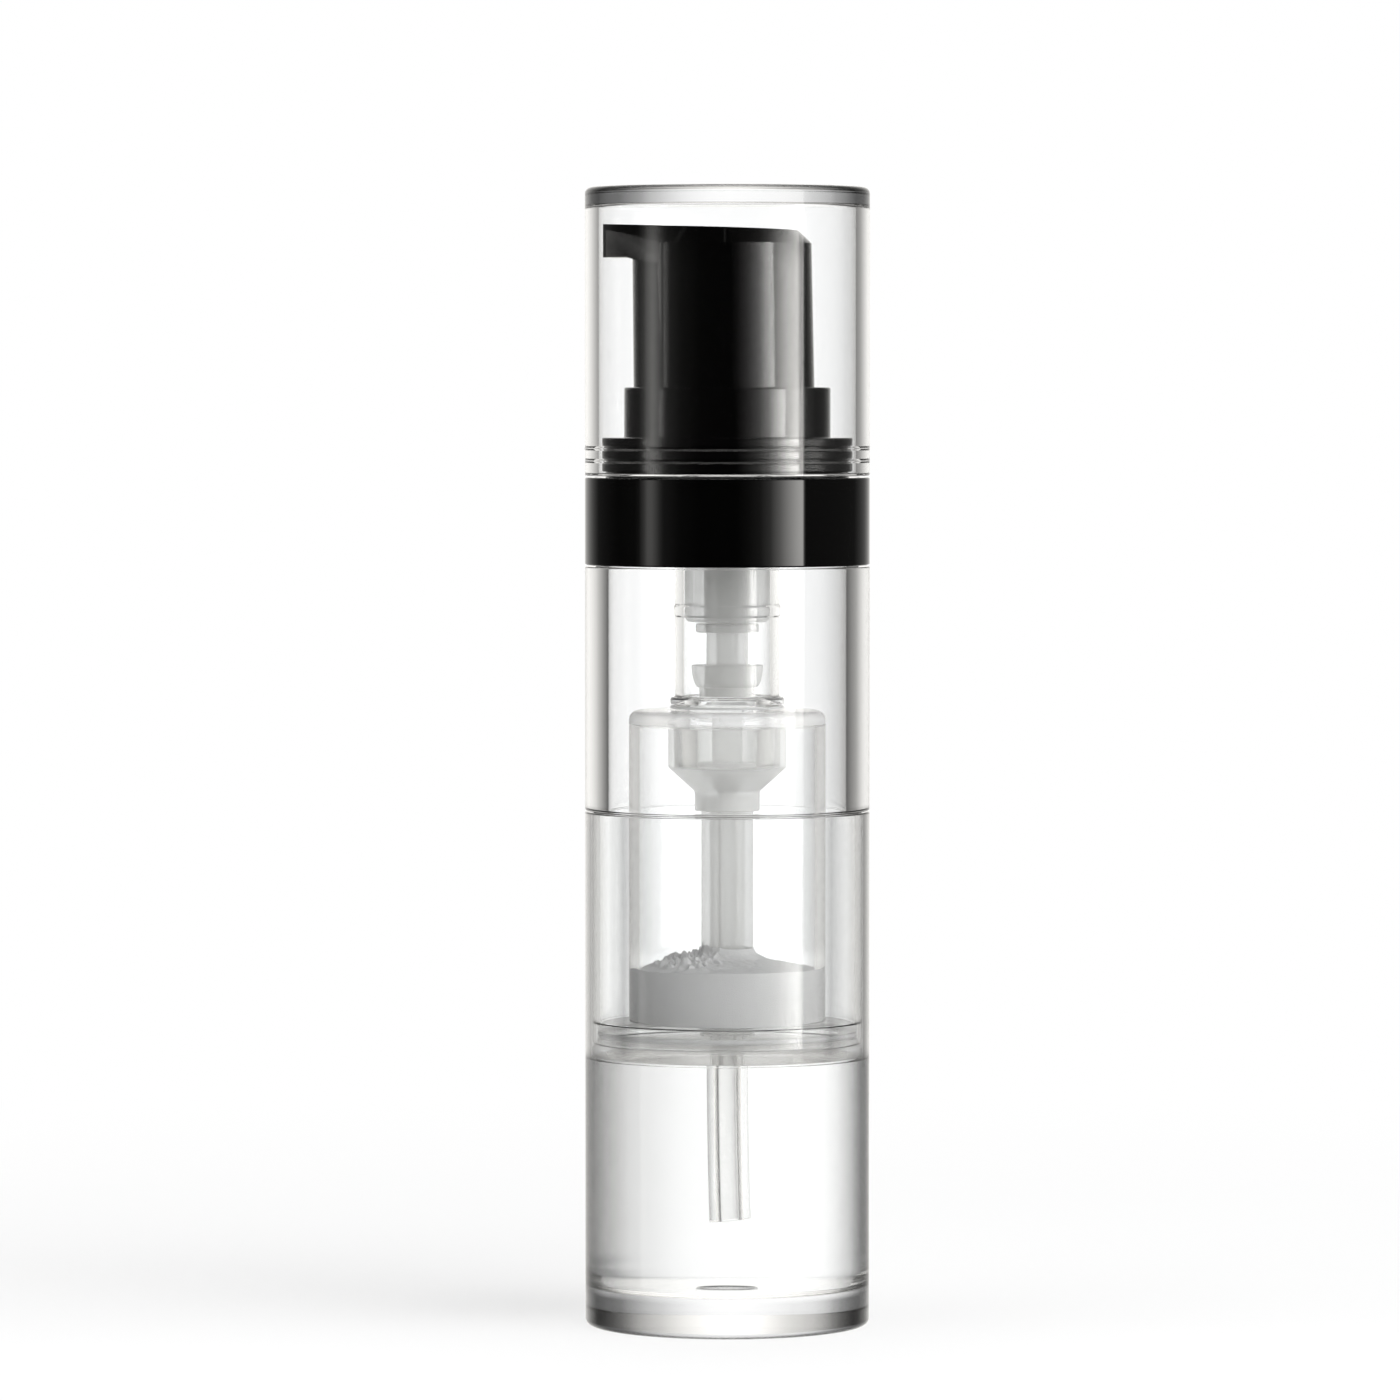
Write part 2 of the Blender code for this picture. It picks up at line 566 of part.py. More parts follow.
def build_chamber_plug():
    """The powder chamber's floor, pressed into the spigot's end, with a groove for the seal."""
    bore_radius = SHEATH_RADIUS + PRESS_GAP
    stop_radius = TUBE_RADIUS + SLIDE_GAP
    groove_z = PLUG_Z + (PLUG_THICKNESS - PLUG_GROOVE_WIDTH) / 2
    plug = turned(
        "chamber_plug",
        [
            (bore_radius, PLUG_TOP_Z),
            (PLUG_RADIUS, PLUG_TOP_Z),
            (PLUG_RADIUS, groove_z + PLUG_GROOVE_WIDTH),
            (PLUG_GROOVE_RADIUS, groove_z + PLUG_GROOVE_WIDTH),
            (PLUG_GROOVE_RADIUS, groove_z),
            (PLUG_RADIUS, groove_z),
            (PLUG_RADIUS, PLUG_Z),
            (stop_radius, PLUG_Z),
            (stop_radius, SHEATH_SEAT_Z),
            (bore_radius, SHEATH_SEAT_Z),
        ],
        SHELL_STEPS,
    )
    return put(sweep(plug), clear_plastic())


def build_plug_seal():
    """The sealing ring in the plug's groove, against the spigot."""
    bpy.ops.mesh.primitive_torus_add(
        major_segments=SHELL_STEPS,
        minor_segments=SEAL_WIRE_STEPS,
        major_radius=PLUG_RADIUS - SEAL_WIRE_RADIUS,
        minor_radius=SEAL_WIRE_RADIUS,
        location=(0, 0, PLUG_Z + PLUG_THICKNESS / 2),
    )
    seal = bpy.context.object
    seal.name = "plug_seal"
    seal.data.shade_smooth()
    return put(seal, seal_rubber())


def build_chamber_dome():
    """The powder chamber: a cup turned over, clamped at its top under the pump housing's waist."""
    hole_radius = HOUSING_RADIUS + PRESS_GAP
    dome = turned(
        "chamber_dome",
        [
            (hole_radius, DOME_TOP_Z),
            (DOME_RADIUS, DOME_TOP_Z, DOME_FILLET),
            (DOME_RADIUS, DOME_Z),
            (DOME_BORE_RADIUS, DOME_Z),
            (DOME_BORE_RADIUS, DOME_PLATE_Z),
            (hole_radius, DOME_PLATE_Z),
        ],
        SHELL_STEPS,
    )
    return put(sweep(dome), clear_plastic())


def build_powder_charge():
    """The powder on the chamber's floor, heaped against the sheath."""
    inner_radius = SHEATH_RADIUS + SEAT_GAP
    outer_radius = DOME_BORE_RADIUS - SEAT_GAP
    middle_radius = inner_radius + (outer_radius - inner_radius) * POWDER_MIDDLE_SHARE
    rise = POWDER_PEAK_HEIGHT - POWDER_EDGE_HEIGHT
    heap = turned(
        "powder_charge",
        [
            (inner_radius, DOME_Z + POWDER_PEAK_HEIGHT),
            (middle_radius, DOME_Z + POWDER_EDGE_HEIGHT + rise * POWDER_MIDDLE_RISE_SHARE),
            (outer_radius, DOME_Z + POWDER_EDGE_HEIGHT),
            (outer_radius, DOME_Z),
            (inner_radius, DOME_Z),
        ],
        CORE_STEPS,
    )
    return put(sweep(heap), powder())


def build_tube_sheath():
    """The sleeve that carries the dip tube from the valve body to the chamber's floor."""
    sheath = turned(
        "tube_sheath",
        [
            (SHEATH_BORE_RADIUS, SHEATH_TOP_Z),
            (SHEATH_RADIUS, SHEATH_TOP_Z),
            (SHEATH_RADIUS, SHEATH_Z),
            (SHEATH_BORE_RADIUS, SHEATH_Z),
        ],
        FINE_STEPS,
    )
    return put(sweep(sheath), milky_plastic())


def dip_tube_points(low, high):
    """Points down the dip tube: straight to the chamber's floor, then bending away slowly."""
    points = [(0, 0, high), (0, 0, SEAL_DISC_Z)]
    for step in range(1, TUBE_STEPS + 1):
        share = step / TUBE_STEPS
        points.append((TUBE_LEAN * share**2, 0, SEAL_DISC_Z + (low - SEAL_DISC_Z) * share))
    return points


def tube_curve(name, points, radius):
    """A round tube along points, as a curve with filled ends."""
    curve = bpy.data.curves.new(name, "CURVE")
    curve.dimensions = "3D"
    curve.bevel_depth = radius
    curve.bevel_resolution = 5
    curve.use_fill_caps = True
    spline = curve.splines.new("POLY")
    spline.points.add(len(points) - 1)
    for point, place in zip(spline.points, points):
        point.co = (*place, 1)
    obj = bpy.data.objects.new(name, curve)
    bpy.context.scene.collection.objects.link(obj)
    return obj


def build_dip_tube():
    """The tube that draws liquid up, open at both ends."""
    tube = to_mesh(tube_curve("dip_tube", dip_tube_points(TUBE_END_HEIGHT, SHEATH_TOP_Z), TUBE_RADIUS))
    bore_points = dip_tube_points(TUBE_END_HEIGHT, SHEATH_TOP_Z)
    bore_points[0] = (0, 0, SHEATH_TOP_Z + CUT_OVERRUN)
    last = bore_points[-1]
    bore_points.append((last[0], 0, last[2] - CUT_OVERRUN))
    bore = to_mesh(tube_curve("dip_tube_bore", bore_points, TUBE_BORE_RADIUS))
    cut(tube, bore)
    return put(sweep(tube), tube_plastic())


def build_valve_body():
    """The funnel pressed on the housing's end: ball seat inside, socket for the sheath below."""
    sheath_socket_radius = SHEATH_RADIUS + PRESS_GAP
    pocket_z = VALVE_SOCKET_Z - VALVE_POCKET_DEPTH
    seat_top_z = INLET_Z + BALL_POCKET_RADIUS - INLET_RADIUS
    body = turned(
        "valve_body",
        [
            (VALVE_SOCKET_RADIUS, VALVE_TOP_Z),
            (VALVE_RADIUS, VALVE_TOP_Z),
            (VALVE_RADIUS, VALVE_CONE_Z),
            (VALVE_NECK_RADIUS, VALVE_NECK_Z),
            (VALVE_NECK_RADIUS, VALVE_Z),
            (sheath_socket_radius, VALVE_Z),
            (sheath_socket_radius, SHEATH_STOP_Z),
            (INLET_RADIUS, SHEATH_STOP_Z),
            (INLET_RADIUS, INLET_Z),
            (BALL_POCKET_RADIUS, seat_top_z),
            (BALL_POCKET_RADIUS, pocket_z),
            (VALVE_POCKET_RADIUS, pocket_z),
            (VALVE_POCKET_RADIUS, VALVE_SOCKET_Z),
            (VALVE_SOCKET_RADIUS, VALVE_SOCKET_Z),
        ],
        CORE_STEPS,
    )
    return put(sweep(body), milky_plastic())


def build_inlet_ball():
    """The check valve's ball on its seat."""
    bpy.ops.mesh.primitive_uv_sphere_add(
        segments=BALL_STEPS, ring_count=BALL_STEPS // 2, radius=BALL_RADIUS, location=(0, 0, BALL_Z)
    )
    ball = bpy.context.object
    ball.name = "inlet_ball"
    ball.data.shade_smooth()
    return put(ball, spring_steel())


def build_valve_cage():
    """The disc over the ball, with flow holes and a post that takes up dead volume."""
    disc_radius = OUTLET_RADIUS - PRESS_GAP
    cage = turned(
        "valve_cage",
        [
            (0, CAGE_POST_TOP_Z),
            (CAGE_POST_RADIUS, CAGE_POST_TOP_Z),
            (CAGE_POST_RADIUS, CAGE_TOP_Z),
            (disc_radius, CAGE_TOP_Z),
            (disc_radius, CAGE_Z),
            (0, CAGE_Z),
        ],
        FINE_STEPS,
        closed=False,
    )
    hole_circle = (CAGE_POST_RADIUS + VALVE_POCKET_RADIUS) / 2
    for index in range(CAGE_HOLES):
        angle = math.tau * (index + 0.5) / CAGE_HOLES
        x = hole_circle * math.cos(angle)
        y = hole_circle * math.sin(angle)
        low = (x, y, CAGE_Z - CUT_OVERRUN)
        high = (x, y, CAGE_TOP_Z + CUT_OVERRUN)
        cut(cage, rod(f"cage_hole_{index + 1}", CAGE_HOLE_RADIUS, low, high, DRILL_STEPS))
    return put(sweep(cage), milky_plastic())


def build_pump_housing():
    """The clear pump cylinder: flange held in the collar, waist on the dome, end in the valve body."""
    housing = turned(
        "pump_housing",
        [
            (HOUSING_BORE_RADIUS, HOUSING_TOP_Z),
            (HOUSING_FLANGE_RADIUS, HOUSING_TOP_Z),
            (HOUSING_FLANGE_RADIUS, HOUSING_FLANGE_Z),
            (HOUSING_RADIUS, HOUSING_FLANGE_Z),
            (HOUSING_RADIUS, WAIST_Z + WAIST_THICKNESS),
            (WAIST_RADIUS, WAIST_Z + WAIST_THICKNESS, WAIST_FILLET),
            (WAIST_RADIUS, WAIST_Z),
            (HOUSING_RADIUS, WAIST_Z),
            (HOUSING_RADIUS, HOUSING_Z),
            (OUTLET_RADIUS, HOUSING_Z),
            (OUTLET_RADIUS, PASSAGE_Z),
            (PASSAGE_RADIUS, PASSAGE_Z),
            (PASSAGE_RADIUS, BORE_FLOOR_Z),
            (HOUSING_BORE_RADIUS, BORE_FLOOR_Z),
        ],
        CORE_STEPS,
    )
    return put(sweep(housing), clear_plastic())


def build_washer(name, inner_radius, outer_radius, low, thickness, steps, finish):
    """A flat ring."""
    washer = turned(
        name,
        [
            (inner_radius, low + thickness),
            (outer_radius, low + thickness),
            (outer_radius, low),
            (inner_radius, low),
        ],
        steps,
    )
    return put(sweep(washer), finish)


def build_gaskets():
    """The rings that seal the dome, the housing's flange and the stem."""
    build_washer(
        "dome_gasket",
        HOUSING_RADIUS + PRESS_GAP,
        WAIST_RADIUS,
        DOME_GASKET_Z,
        DOME_GASKET_THICKNESS,
        CORE_STEPS,
        seal_rubber(),
    )
    build_washer(
        "housing_gasket",
        HOUSING_GASKET_RADIUS,
        HOUSING_FLANGE_RADIUS,
        HOUSING_GASKET_Z,
        HOUSING_GASKET_THICKNESS,
        CORE_STEPS,
        seal_rubber(),
    )
    build_washer(
        "stem_seal",
        SLEEVED_STEM_RADIUS,
        STEM_SEAL_RADIUS,
        STEM_SEAL_Z,
        STEM_SEAL_THICKNESS,
        FINE_STEPS,
        milky_plastic(),
    )


def build_stem_guide():
    """The bush that guides the stem: flange on the housing, boss through the collar's web."""
    guide = turned(
        "stem_guide",
        [
            (SLEEVED_STEM_RADIUS, GUIDE_TOP_Z),
            (GUIDE_BOSS_RADIUS, GUIDE_TOP_Z),
            (GUIDE_BOSS_RADIUS, GUIDE_FLANGE_TOP_Z),
            (GUIDE_FLANGE_RADIUS, GUIDE_FLANGE_TOP_Z),
            (GUIDE_FLANGE_RADIUS, GUIDE_FLANGE_Z),
            (GUIDE_RADIUS, GUIDE_FLANGE_Z),
            (GUIDE_RADIUS, GUIDE_Z, GUIDE_FILLET),
            (SLEEVED_STEM_RADIUS, GUIDE_Z),
        ],
        CORE_STEPS,
    )
    return put(sweep(guide), milky_plastic())


def build_piston():
    """The cupped piston on the stem's end. Its top dips to the stem and its side bulges to the lip."""
    corners = [(SLEEVED_STEM_RADIUS, PISTON_TOP_Z - PISTON_LIP_DEPTH), (PISTON_LIP_RADIUS, PISTON_TOP_Z)]
    for step in range(1, PISTON_CUP_STEPS + 1):
        angle = math.pi / 2 * step / PISTON_CUP_STEPS
        radius = PISTON_SKIRT_RADIUS + (PISTON_LIP_RADIUS - PISTON_SKIRT_RADIUS) * math.cos(angle)
        height = PISTON_TOP_Z - PISTON_CUP_HEIGHT * math.sin(angle)
        corners.append((radius, height))
    corners.append((PISTON_SKIRT_RADIUS, PISTON_Z))
    corners.append((SLEEVED_STEM_RADIUS, PISTON_Z))
    return put(sweep(turned("piston", corners, CORE_STEPS)), milky_plastic())


def build_stem():
    """The hollow stem, with a recess at its end that passes over the cage's post."""
    recess_top_z = max(CAGE_POST_TOP_Z + HEAD_TRAVEL, PISTON_Z) + RECESS_SPARE
    stem = turned(
        "stem",
        [
            (STEM_BORE_RADIUS, STEM_TOP_Z),
            (STEM_RADIUS, STEM_TOP_Z),
            (STEM_RADIUS, PISTON_Z),
            (STEM_RECESS_RADIUS, PISTON_Z),
            (STEM_RECESS_RADIUS, recess_top_z),
            (STEM_BORE_RADIUS, recess_top_z),
        ],
        FINE_STEPS,
    )
    return put(sweep(stem), milky_plastic())


def build_return_spring():
    """The coil spring round the stem, between the guide's boss and the actuator's boss."""
    low = GUIDE_TOP_Z + SEAT_GAP + SPRING_WIRE_RADIUS
    high = BOSS_Z - SEAT_GAP - SPRING_WIRE_RADIUS
    curve = bpy.data.curves.new("return_spring", "CURVE")
    curve.dimensions = "3D"
    curve.bevel_depth = SPRING_WIRE_RADIUS
    curve.bevel_resolution = 1
    curve.use_fill_caps = True
    count = SPRING_TURNS * SPRING_TURN_POINTS
    spline = curve.splines.new("POLY")
    spline.points.add(count)
    for index, point in enumerate(spline.points):
        angle = math.tau * index / SPRING_TURN_POINTS
        height = low + (high - low) * index / count
        point.co = (SPRING_RADIUS * math.cos(angle), SPRING_RADIUS * math.sin(angle), height, 1)
    turns_apart = [
        (spline.points[index + SPRING_TURN_POINTS].co - spline.points[index].co).length
        for index in range(count - SPRING_TURN_POINTS + 1)
    ]
    print("return_spring: least gap between turns, mm:", (min(turns_apart) - 2 * SPRING_WIRE_RADIUS) / MM)
    spring = bpy.data.objects.new("return_spring", curve)
    bpy.context.scene.collection.objects.link(spring)
    return put(spring, spring_steel())


def build_collar():
    """The closure: seat on the bottle's rim, ribbed neck for the overcap, and the actuator's tube."""
    web_hole_radius = GUIDE_BOSS_RADIUS + COLLAR_WEB_HOLE_GAP
    bead_radius = COLLAR_SKIRT_BORE_RADIUS - COLLAR_BEAD
    corners = [
        (COLLAR_TUBE_BORE_RADIUS, COLLAR_TOP_Z),
        (COLLAR_TUBE_RADIUS, COLLAR_TOP_Z, COLLAR_TUBE_FILLET),
        (COLLAR_TUBE_RADIUS, COLLAR_RINGS_TOP_Z),
    ]
    height = COLLAR_RINGS_TOP_Z
    for index in range(COLLAR_RINGS):
        is_last = index == COLLAR_RINGS - 1
        corners.append((COLLAR_RING_RADIUS, height))
        height -= COLLAR_RING_HEIGHT
        corners.append((COLLAR_RING_RADIUS, height))
        corners.append((COLLAR_GROOVE_RADIUS, height))
        height -= COLLAR_FIRST_GROOVE if is_last else COLLAR_GROOVE_HEIGHT
        corners.append((COLLAR_GROOVE_RADIUS, height))
    corners += [
        (RIM_RADIUS, COLLAR_SEAT_TOP_Z),
        (RIM_RADIUS, COLLAR_SEAT_Z),
        (COLLAR_SKIRT_RADIUS, COLLAR_SEAT_Z),
        (COLLAR_SKIRT_RADIUS, COLLAR_SKIRT_Z),
        (COLLAR_SKIRT_BORE_RADIUS, COLLAR_SKIRT_Z),
        (COLLAR_SKIRT_BORE_RADIUS, COLLAR_BEAD_Z),
        (bead_radius, COLLAR_BEAD_Z + COLLAR_BEAD_HEIGHT / 2),
        (COLLAR_SKIRT_BORE_RADIUS, COLLAR_BEAD_Z + COLLAR_BEAD_HEIGHT),
        (COLLAR_SKIRT_BORE_RADIUS, COLLAR_WEB_Z),
        (web_hole_radius, COLLAR_WEB_Z),
        (web_hole_radius, COLLAR_WEB_TOP_Z),
        (COLLAR_TUBE_BORE_RADIUS, COLLAR_WEB_TOP_Z),
    ]
    return put(sweep(turned("collar", corners, SHELL_STEPS)), black_plastic())


def build_band():
    """The black sleeve flush with the bottle, round its rim."""
    inner_radius = RIM_RADIUS + PRESS_GAP
    band = turned(
        "band",
        [
            (inner_radius, BAND_TOP_Z),
            (BODY_RADIUS, BAND_TOP_Z, RIM_FILLET),
            (BODY_RADIUS, BAND_Z, RIM_FILLET),
            (inner_radius, BAND_Z),
        ],
        SHELL_STEPS,
    )
    return put(sweep(band), black_plastic())


def build_overcap():
    """The clear cap, with two beads inside that click past the collar's rings."""
    corners = [
        (0, CAP_TOP_Z),
        (BODY_RADIUS, CAP_TOP_Z, CAP_FILLET),
        (BODY_RADIUS, CAP_Z, RIM_FILLET),
        (CAP_BORE_RADIUS + CAP_LEAD_IN, CAP_Z),
        (CAP_BORE_RADIUS, CAP_Z + CAP_LEAD_IN),
    ]
    groove_z = COLLAR_SEAT_TOP_Z + COLLAR_FIRST_GROOVE + COLLAR_RING_HEIGHT + COLLAR_GROOVE_HEIGHT / 2
    for _ in range(COLLAR_RINGS - 1):
        corners += [
            (CAP_BORE_RADIUS, groove_z - CAP_BEAD_HALF_HEIGHT),
            (CAP_BORE_RADIUS - CAP_BEAD, groove_z),
            (CAP_BORE_RADIUS, groove_z + CAP_BEAD_HALF_HEIGHT),
        ]
        groove_z += COLLAR_RING_HEIGHT + COLLAR_GROOVE_HEIGHT
    corners += [(CAP_BORE_RADIUS, CAP_TOP_Z - CAP_ROOF), (0, CAP_TOP_Z - CAP_ROOF)]
    return put(sweep(turned("overcap", corners, SHELL_STEPS, closed=False)), clear_plastic())


def top_z(x):
    """Height of the actuator's sloping top at this x."""
    back_x = ACTUATOR_TOP_RADIUS - ACTUATOR_CHAMFER
    return ACTUATOR_TOP_Z + (back_x - x) * TOP_SLOPE


def actuator_body():
    """The actuator's round body, solid and taller than its sloping top."""
    chamfer_z = ACTUATOR_TOP_Z - ACTUATOR_CHAMFER
    spare = SPOUT_REACH * TOP_SLOPE
    return turned(
        "actuator",
        [
            (0, ACTUATOR_TOP_Z + spare),
            (ACTUATOR_TOP_RADIUS - ACTUATOR_CHAMFER - spare, ACTUATOR_TOP_Z + spare),
            (ACTUATOR_TOP_RADIUS, chamfer_z),
            (ACTUATOR_RADIUS, ACTUATOR_Z),
            (0, ACTUATOR_Z),
        ],
        SHELL_STEPS,
        closed=False,
    )


def spout_block():
    """The beak, taller than the sloping top: its plan tapers to the tip and it steps down at its root."""
    tip_half = SPOUT_TIP_WIDTH / 2
    root_half = ACTUATOR_TOP_RADIUS - ACTUATOR_CHAMFER
    tip_top = top_z(-SPOUT_REACH)
    tip_low = tip_top - SPOUT_TIP_HEIGHT
    root_z = tip_low - SPOUT_ROOT_DROP
    plan = [(0, -root_half), (0, root_half)]
    for step in range(SPOUT_TIP_STEPS + 1):
        y = tip_half * (1 - 2 * step / SPOUT_TIP_STEPS)
        plan.append((-math.sqrt(SPOUT_REACH**2 - y**2), y))
    block = extruded("spout_plan", plan, 4 * SPOUT_TIP_HEIGHT)
    block.location = (0, 0, root_z)
    block = to_mesh(block)
    far = -SPOUT_REACH - CUT_OVERRUN
    side = [
        (CUT_OVERRUN, tip_top + CUT_OVERRUN),
        (far, tip_top + CUT_OVERRUN),
        (far, tip_low),
        (-SPOUT_DIP_REACH, tip_low),
        (-SPOUT_ROOT_REACH, root_z),
        (CUT_OVERRUN, root_z),
    ]
    view = extruded("spout_side", side, 4 * ACTUATOR_RADIUS)
    view.rotation_euler = (math.pi / 2, 0, 0)
    cut(block, to_mesh(view), "INTERSECT")
    return block


def actuator_top_cutter():
    """Everything above the sloping top, across the round body."""
    reach = SPOUT_REACH + CUT_OVERRUN
    high = ACTUATOR_TOP_Z + ACTUATOR_ROOF
    side = [(-reach, top_z(-reach)), (reach, top_z(reach)), (reach, high), (-reach, high)]
    view = extruded("actuator_top_cut", side, 4 * ACTUATOR_RADIUS)
    view.rotation_euler = (math.pi / 2, 0, 0)
    return to_mesh(view)


def actuator_hollow():
    """The space inside the skirt, round the boss that takes the stem."""
    inner_radius = ACTUATOR_TOP_RADIUS - ACTUATOR_WALL
    return turned(
        "actuator_hollow",
        [
            (0, BOSS_Z),
            (BOSS_RADIUS, BOSS_Z),
            (BOSS_RADIUS, ACTUATOR_ROOF_Z),
            (inner_radius, ACTUATOR_ROOF_Z),
            (inner_radius, ACTUATOR_Z - CUT_OVERRUN),
            (0, ACTUATOR_Z - CUT_OVERRUN),
        ],
        SHELL_STEPS,
        closed=False,
    )


def build_actuator():
    """The press head: round skirt, beak with its outlet underneath, and the stem's socket."""
    head = actuator_body()
    cut(head, spout_block(), "UNION")
    cut(head, actuator_top_cutter())
    cut(head, actuator_hollow())
    socket_radius = STEM_RADIUS + PRESS_GAP
    channel_z = top_z(-SPOUT_REACH) - CHANNEL_DEPTH
    outlet_x = -SPOUT_REACH + OUTLET_SETBACK
    outlet_low_z = channel_z - SPOUT_TIP_HEIGHT
    bores = [
        ("stem_socket", socket_radius, (0, 0, BOSS_Z - CUT_OVERRUN), (0, 0, STEM_SOCKET_Z)),
        ("channel_rise", CHANNEL_RADIUS, (0, 0, BOSS_Z), (0, 0, channel_z)),
        ("channel_run", CHANNEL_RADIUS, (0, 0, channel_z), (outlet_x, 0, channel_z)),
        ("channel_outlet", CHANNEL_RADIUS, (outlet_x, 0, outlet_low_z), (outlet_x, 0, channel_z)),
    ]
    for name, radius, start, end in bores:
        cut(head, rod(name, radius, start, end, DRILL_STEPS))
    return put(sweep(head), black_plastic())


def clear_scene():
    """Removes what the scene holds."""
    for obj in list(bpy.data.objects):
        bpy.data.objects.remove(obj, do_unlink=True)


def main():
    clear_scene()
    build_lower_bottle()
    build_upper_bottle()
    build_seal_disc()
    build_chamber_plug()
    build_plug_seal()
    build_chamber_dome()
    build_powder_charge()
    build_tube_sheath()
    build_dip_tube()
    build_valve_body()
    build_inlet_ball()
    build_valve_cage()
    build_pump_housing()
    build_gaskets()
    build_stem_guide()
    build_piston()
    build_stem()
    build_return_spring()
    build_collar()
    build_band()
    build_actuator()
    build_overcap()


main()
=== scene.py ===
"""Skincare pump bottle with two chambers: the finished look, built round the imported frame.

The bottle stands on the XY plane with its axis on +Z and its spout towards -X. Lengths are in metres.
"""

import math

import bmesh
import bpy
from bpy.props import FloatProperty, FloatVectorProperty, IntProperty, PointerProperty
from mathutils import Matrix, Vector, noise


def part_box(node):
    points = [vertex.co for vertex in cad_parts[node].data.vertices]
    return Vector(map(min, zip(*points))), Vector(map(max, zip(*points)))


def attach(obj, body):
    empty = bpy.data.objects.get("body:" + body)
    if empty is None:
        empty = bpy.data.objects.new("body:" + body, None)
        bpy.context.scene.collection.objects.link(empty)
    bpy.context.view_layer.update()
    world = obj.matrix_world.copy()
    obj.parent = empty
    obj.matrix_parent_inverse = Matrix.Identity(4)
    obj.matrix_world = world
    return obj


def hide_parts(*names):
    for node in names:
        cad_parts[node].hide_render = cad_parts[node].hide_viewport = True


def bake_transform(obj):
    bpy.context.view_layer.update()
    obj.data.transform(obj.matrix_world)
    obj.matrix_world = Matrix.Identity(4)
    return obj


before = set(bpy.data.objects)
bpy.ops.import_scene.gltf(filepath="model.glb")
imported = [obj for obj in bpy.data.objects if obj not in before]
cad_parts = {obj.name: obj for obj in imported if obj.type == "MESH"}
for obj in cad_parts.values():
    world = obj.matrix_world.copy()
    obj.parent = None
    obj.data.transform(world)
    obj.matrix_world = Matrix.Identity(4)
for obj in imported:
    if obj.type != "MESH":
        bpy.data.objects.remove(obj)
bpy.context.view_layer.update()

bl_info = {
    "name": "Skincare Pump Bottle",
    "version": (1, 0, 0),
    "blender": (4, 5, 0),
    "location": "3D View > Sidebar > Pump Bottle",
    "description": "Builds a clear two-chamber pump bottle with its powder, liquid and pump",
    "category": "Add Mesh",
}

MM = 0.001
SMOOTH_ANGLE = math.radians(32)
WELD = 0.002 * MM


def low(node):
    """Height of a node's lowest point."""
    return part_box(node)[0].z


def high(node):
    """Height of a node's highest point."""
    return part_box(node)[1].z


def reach(node):
    """Radius of a turned node."""
    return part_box(node)[1].y


# Sizes and colours that a user would change


class ShellSizes(bpy.types.PropertyGroup):
    """Walls and edges of the clear and black shells."""

    steps: IntProperty(name="Steps", description="Facets round each shell", default=160, min=32, max=512)
    cap_wall: FloatProperty(name="Cap Wall", description="Overcap's side wall", default=1.6 * MM, unit="LENGTH")
    cap_roof: FloatProperty(name="Cap Roof", description="Overcap's top", default=2.0 * MM, unit="LENGTH")
    sleeve_wall: FloatProperty(
        name="Sleeve Wall", description="Upper bottle's side wall", default=2.7 * MM, unit="LENGTH"
    )
    spigot_wall: FloatProperty(
        name="Spigot Wall", description="Wall of the part in the lower bottle", default=0.85 * MM, unit="LENGTH"
    )
    socket_wall: FloatProperty(
        name="Socket Wall", description="Lower bottle's wall round the spigot", default=0.7 * MM, unit="LENGTH"
    )
    reservoir_wall: FloatProperty(
        name="Reservoir Wall", description="Lower bottle's wall round the liquid", default=1.5 * MM, unit="LENGTH"
    )
    base: FloatProperty(name="Base", description="Lower bottle's thick foot", default=4.5 * MM, unit="LENGTH")
    dome_wall: FloatProperty(name="Dome Wall", description="Powder chamber's wall", default=1.2 * MM, unit="LENGTH")
    housing_wall: FloatProperty(
        name="Housing Wall", description="Pump housing's wall", default=0.97 * MM, unit="LENGTH"
    )
    edge: FloatProperty(name="Edge", description="Rounding of moulded edges", default=0.15 * MM, unit="LENGTH")


class Finishes(bpy.types.PropertyGroup):
    """Colours of the plastics, the powder and the liquid."""

    clear: FloatVectorProperty(
        name="Clear Plastic", description="Tint of the clear shells", subtype="COLOR", default=(0.994, 0.997, 0.997)
    )
    black: FloatVectorProperty(
        name="Black Plastic", description="Collar, band and press head", subtype="COLOR", default=(0.0005, 0.0005, 0.0005)
    )
    milky: FloatVectorProperty(
        name="Milky Plastic", description="Piston, guide, valve and sheath", subtype="COLOR", default=(0.78, 0.78, 0.77)
    )
    powder: FloatVectorProperty(
        name="Powder", description="Powder's colour", subtype="COLOR", default=(0.45, 0.45, 0.447)
    )
    liquid: FloatVectorProperty(
        name="Liquid", description="Tint of the liquid", subtype="COLOR", default=(0.995, 0.995, 0.99)
    )
    lumps: FloatProperty(
        name="Powder Lumps", description="How rough the heap's top is", default=0.5 * MM, unit="LENGTH"
    )


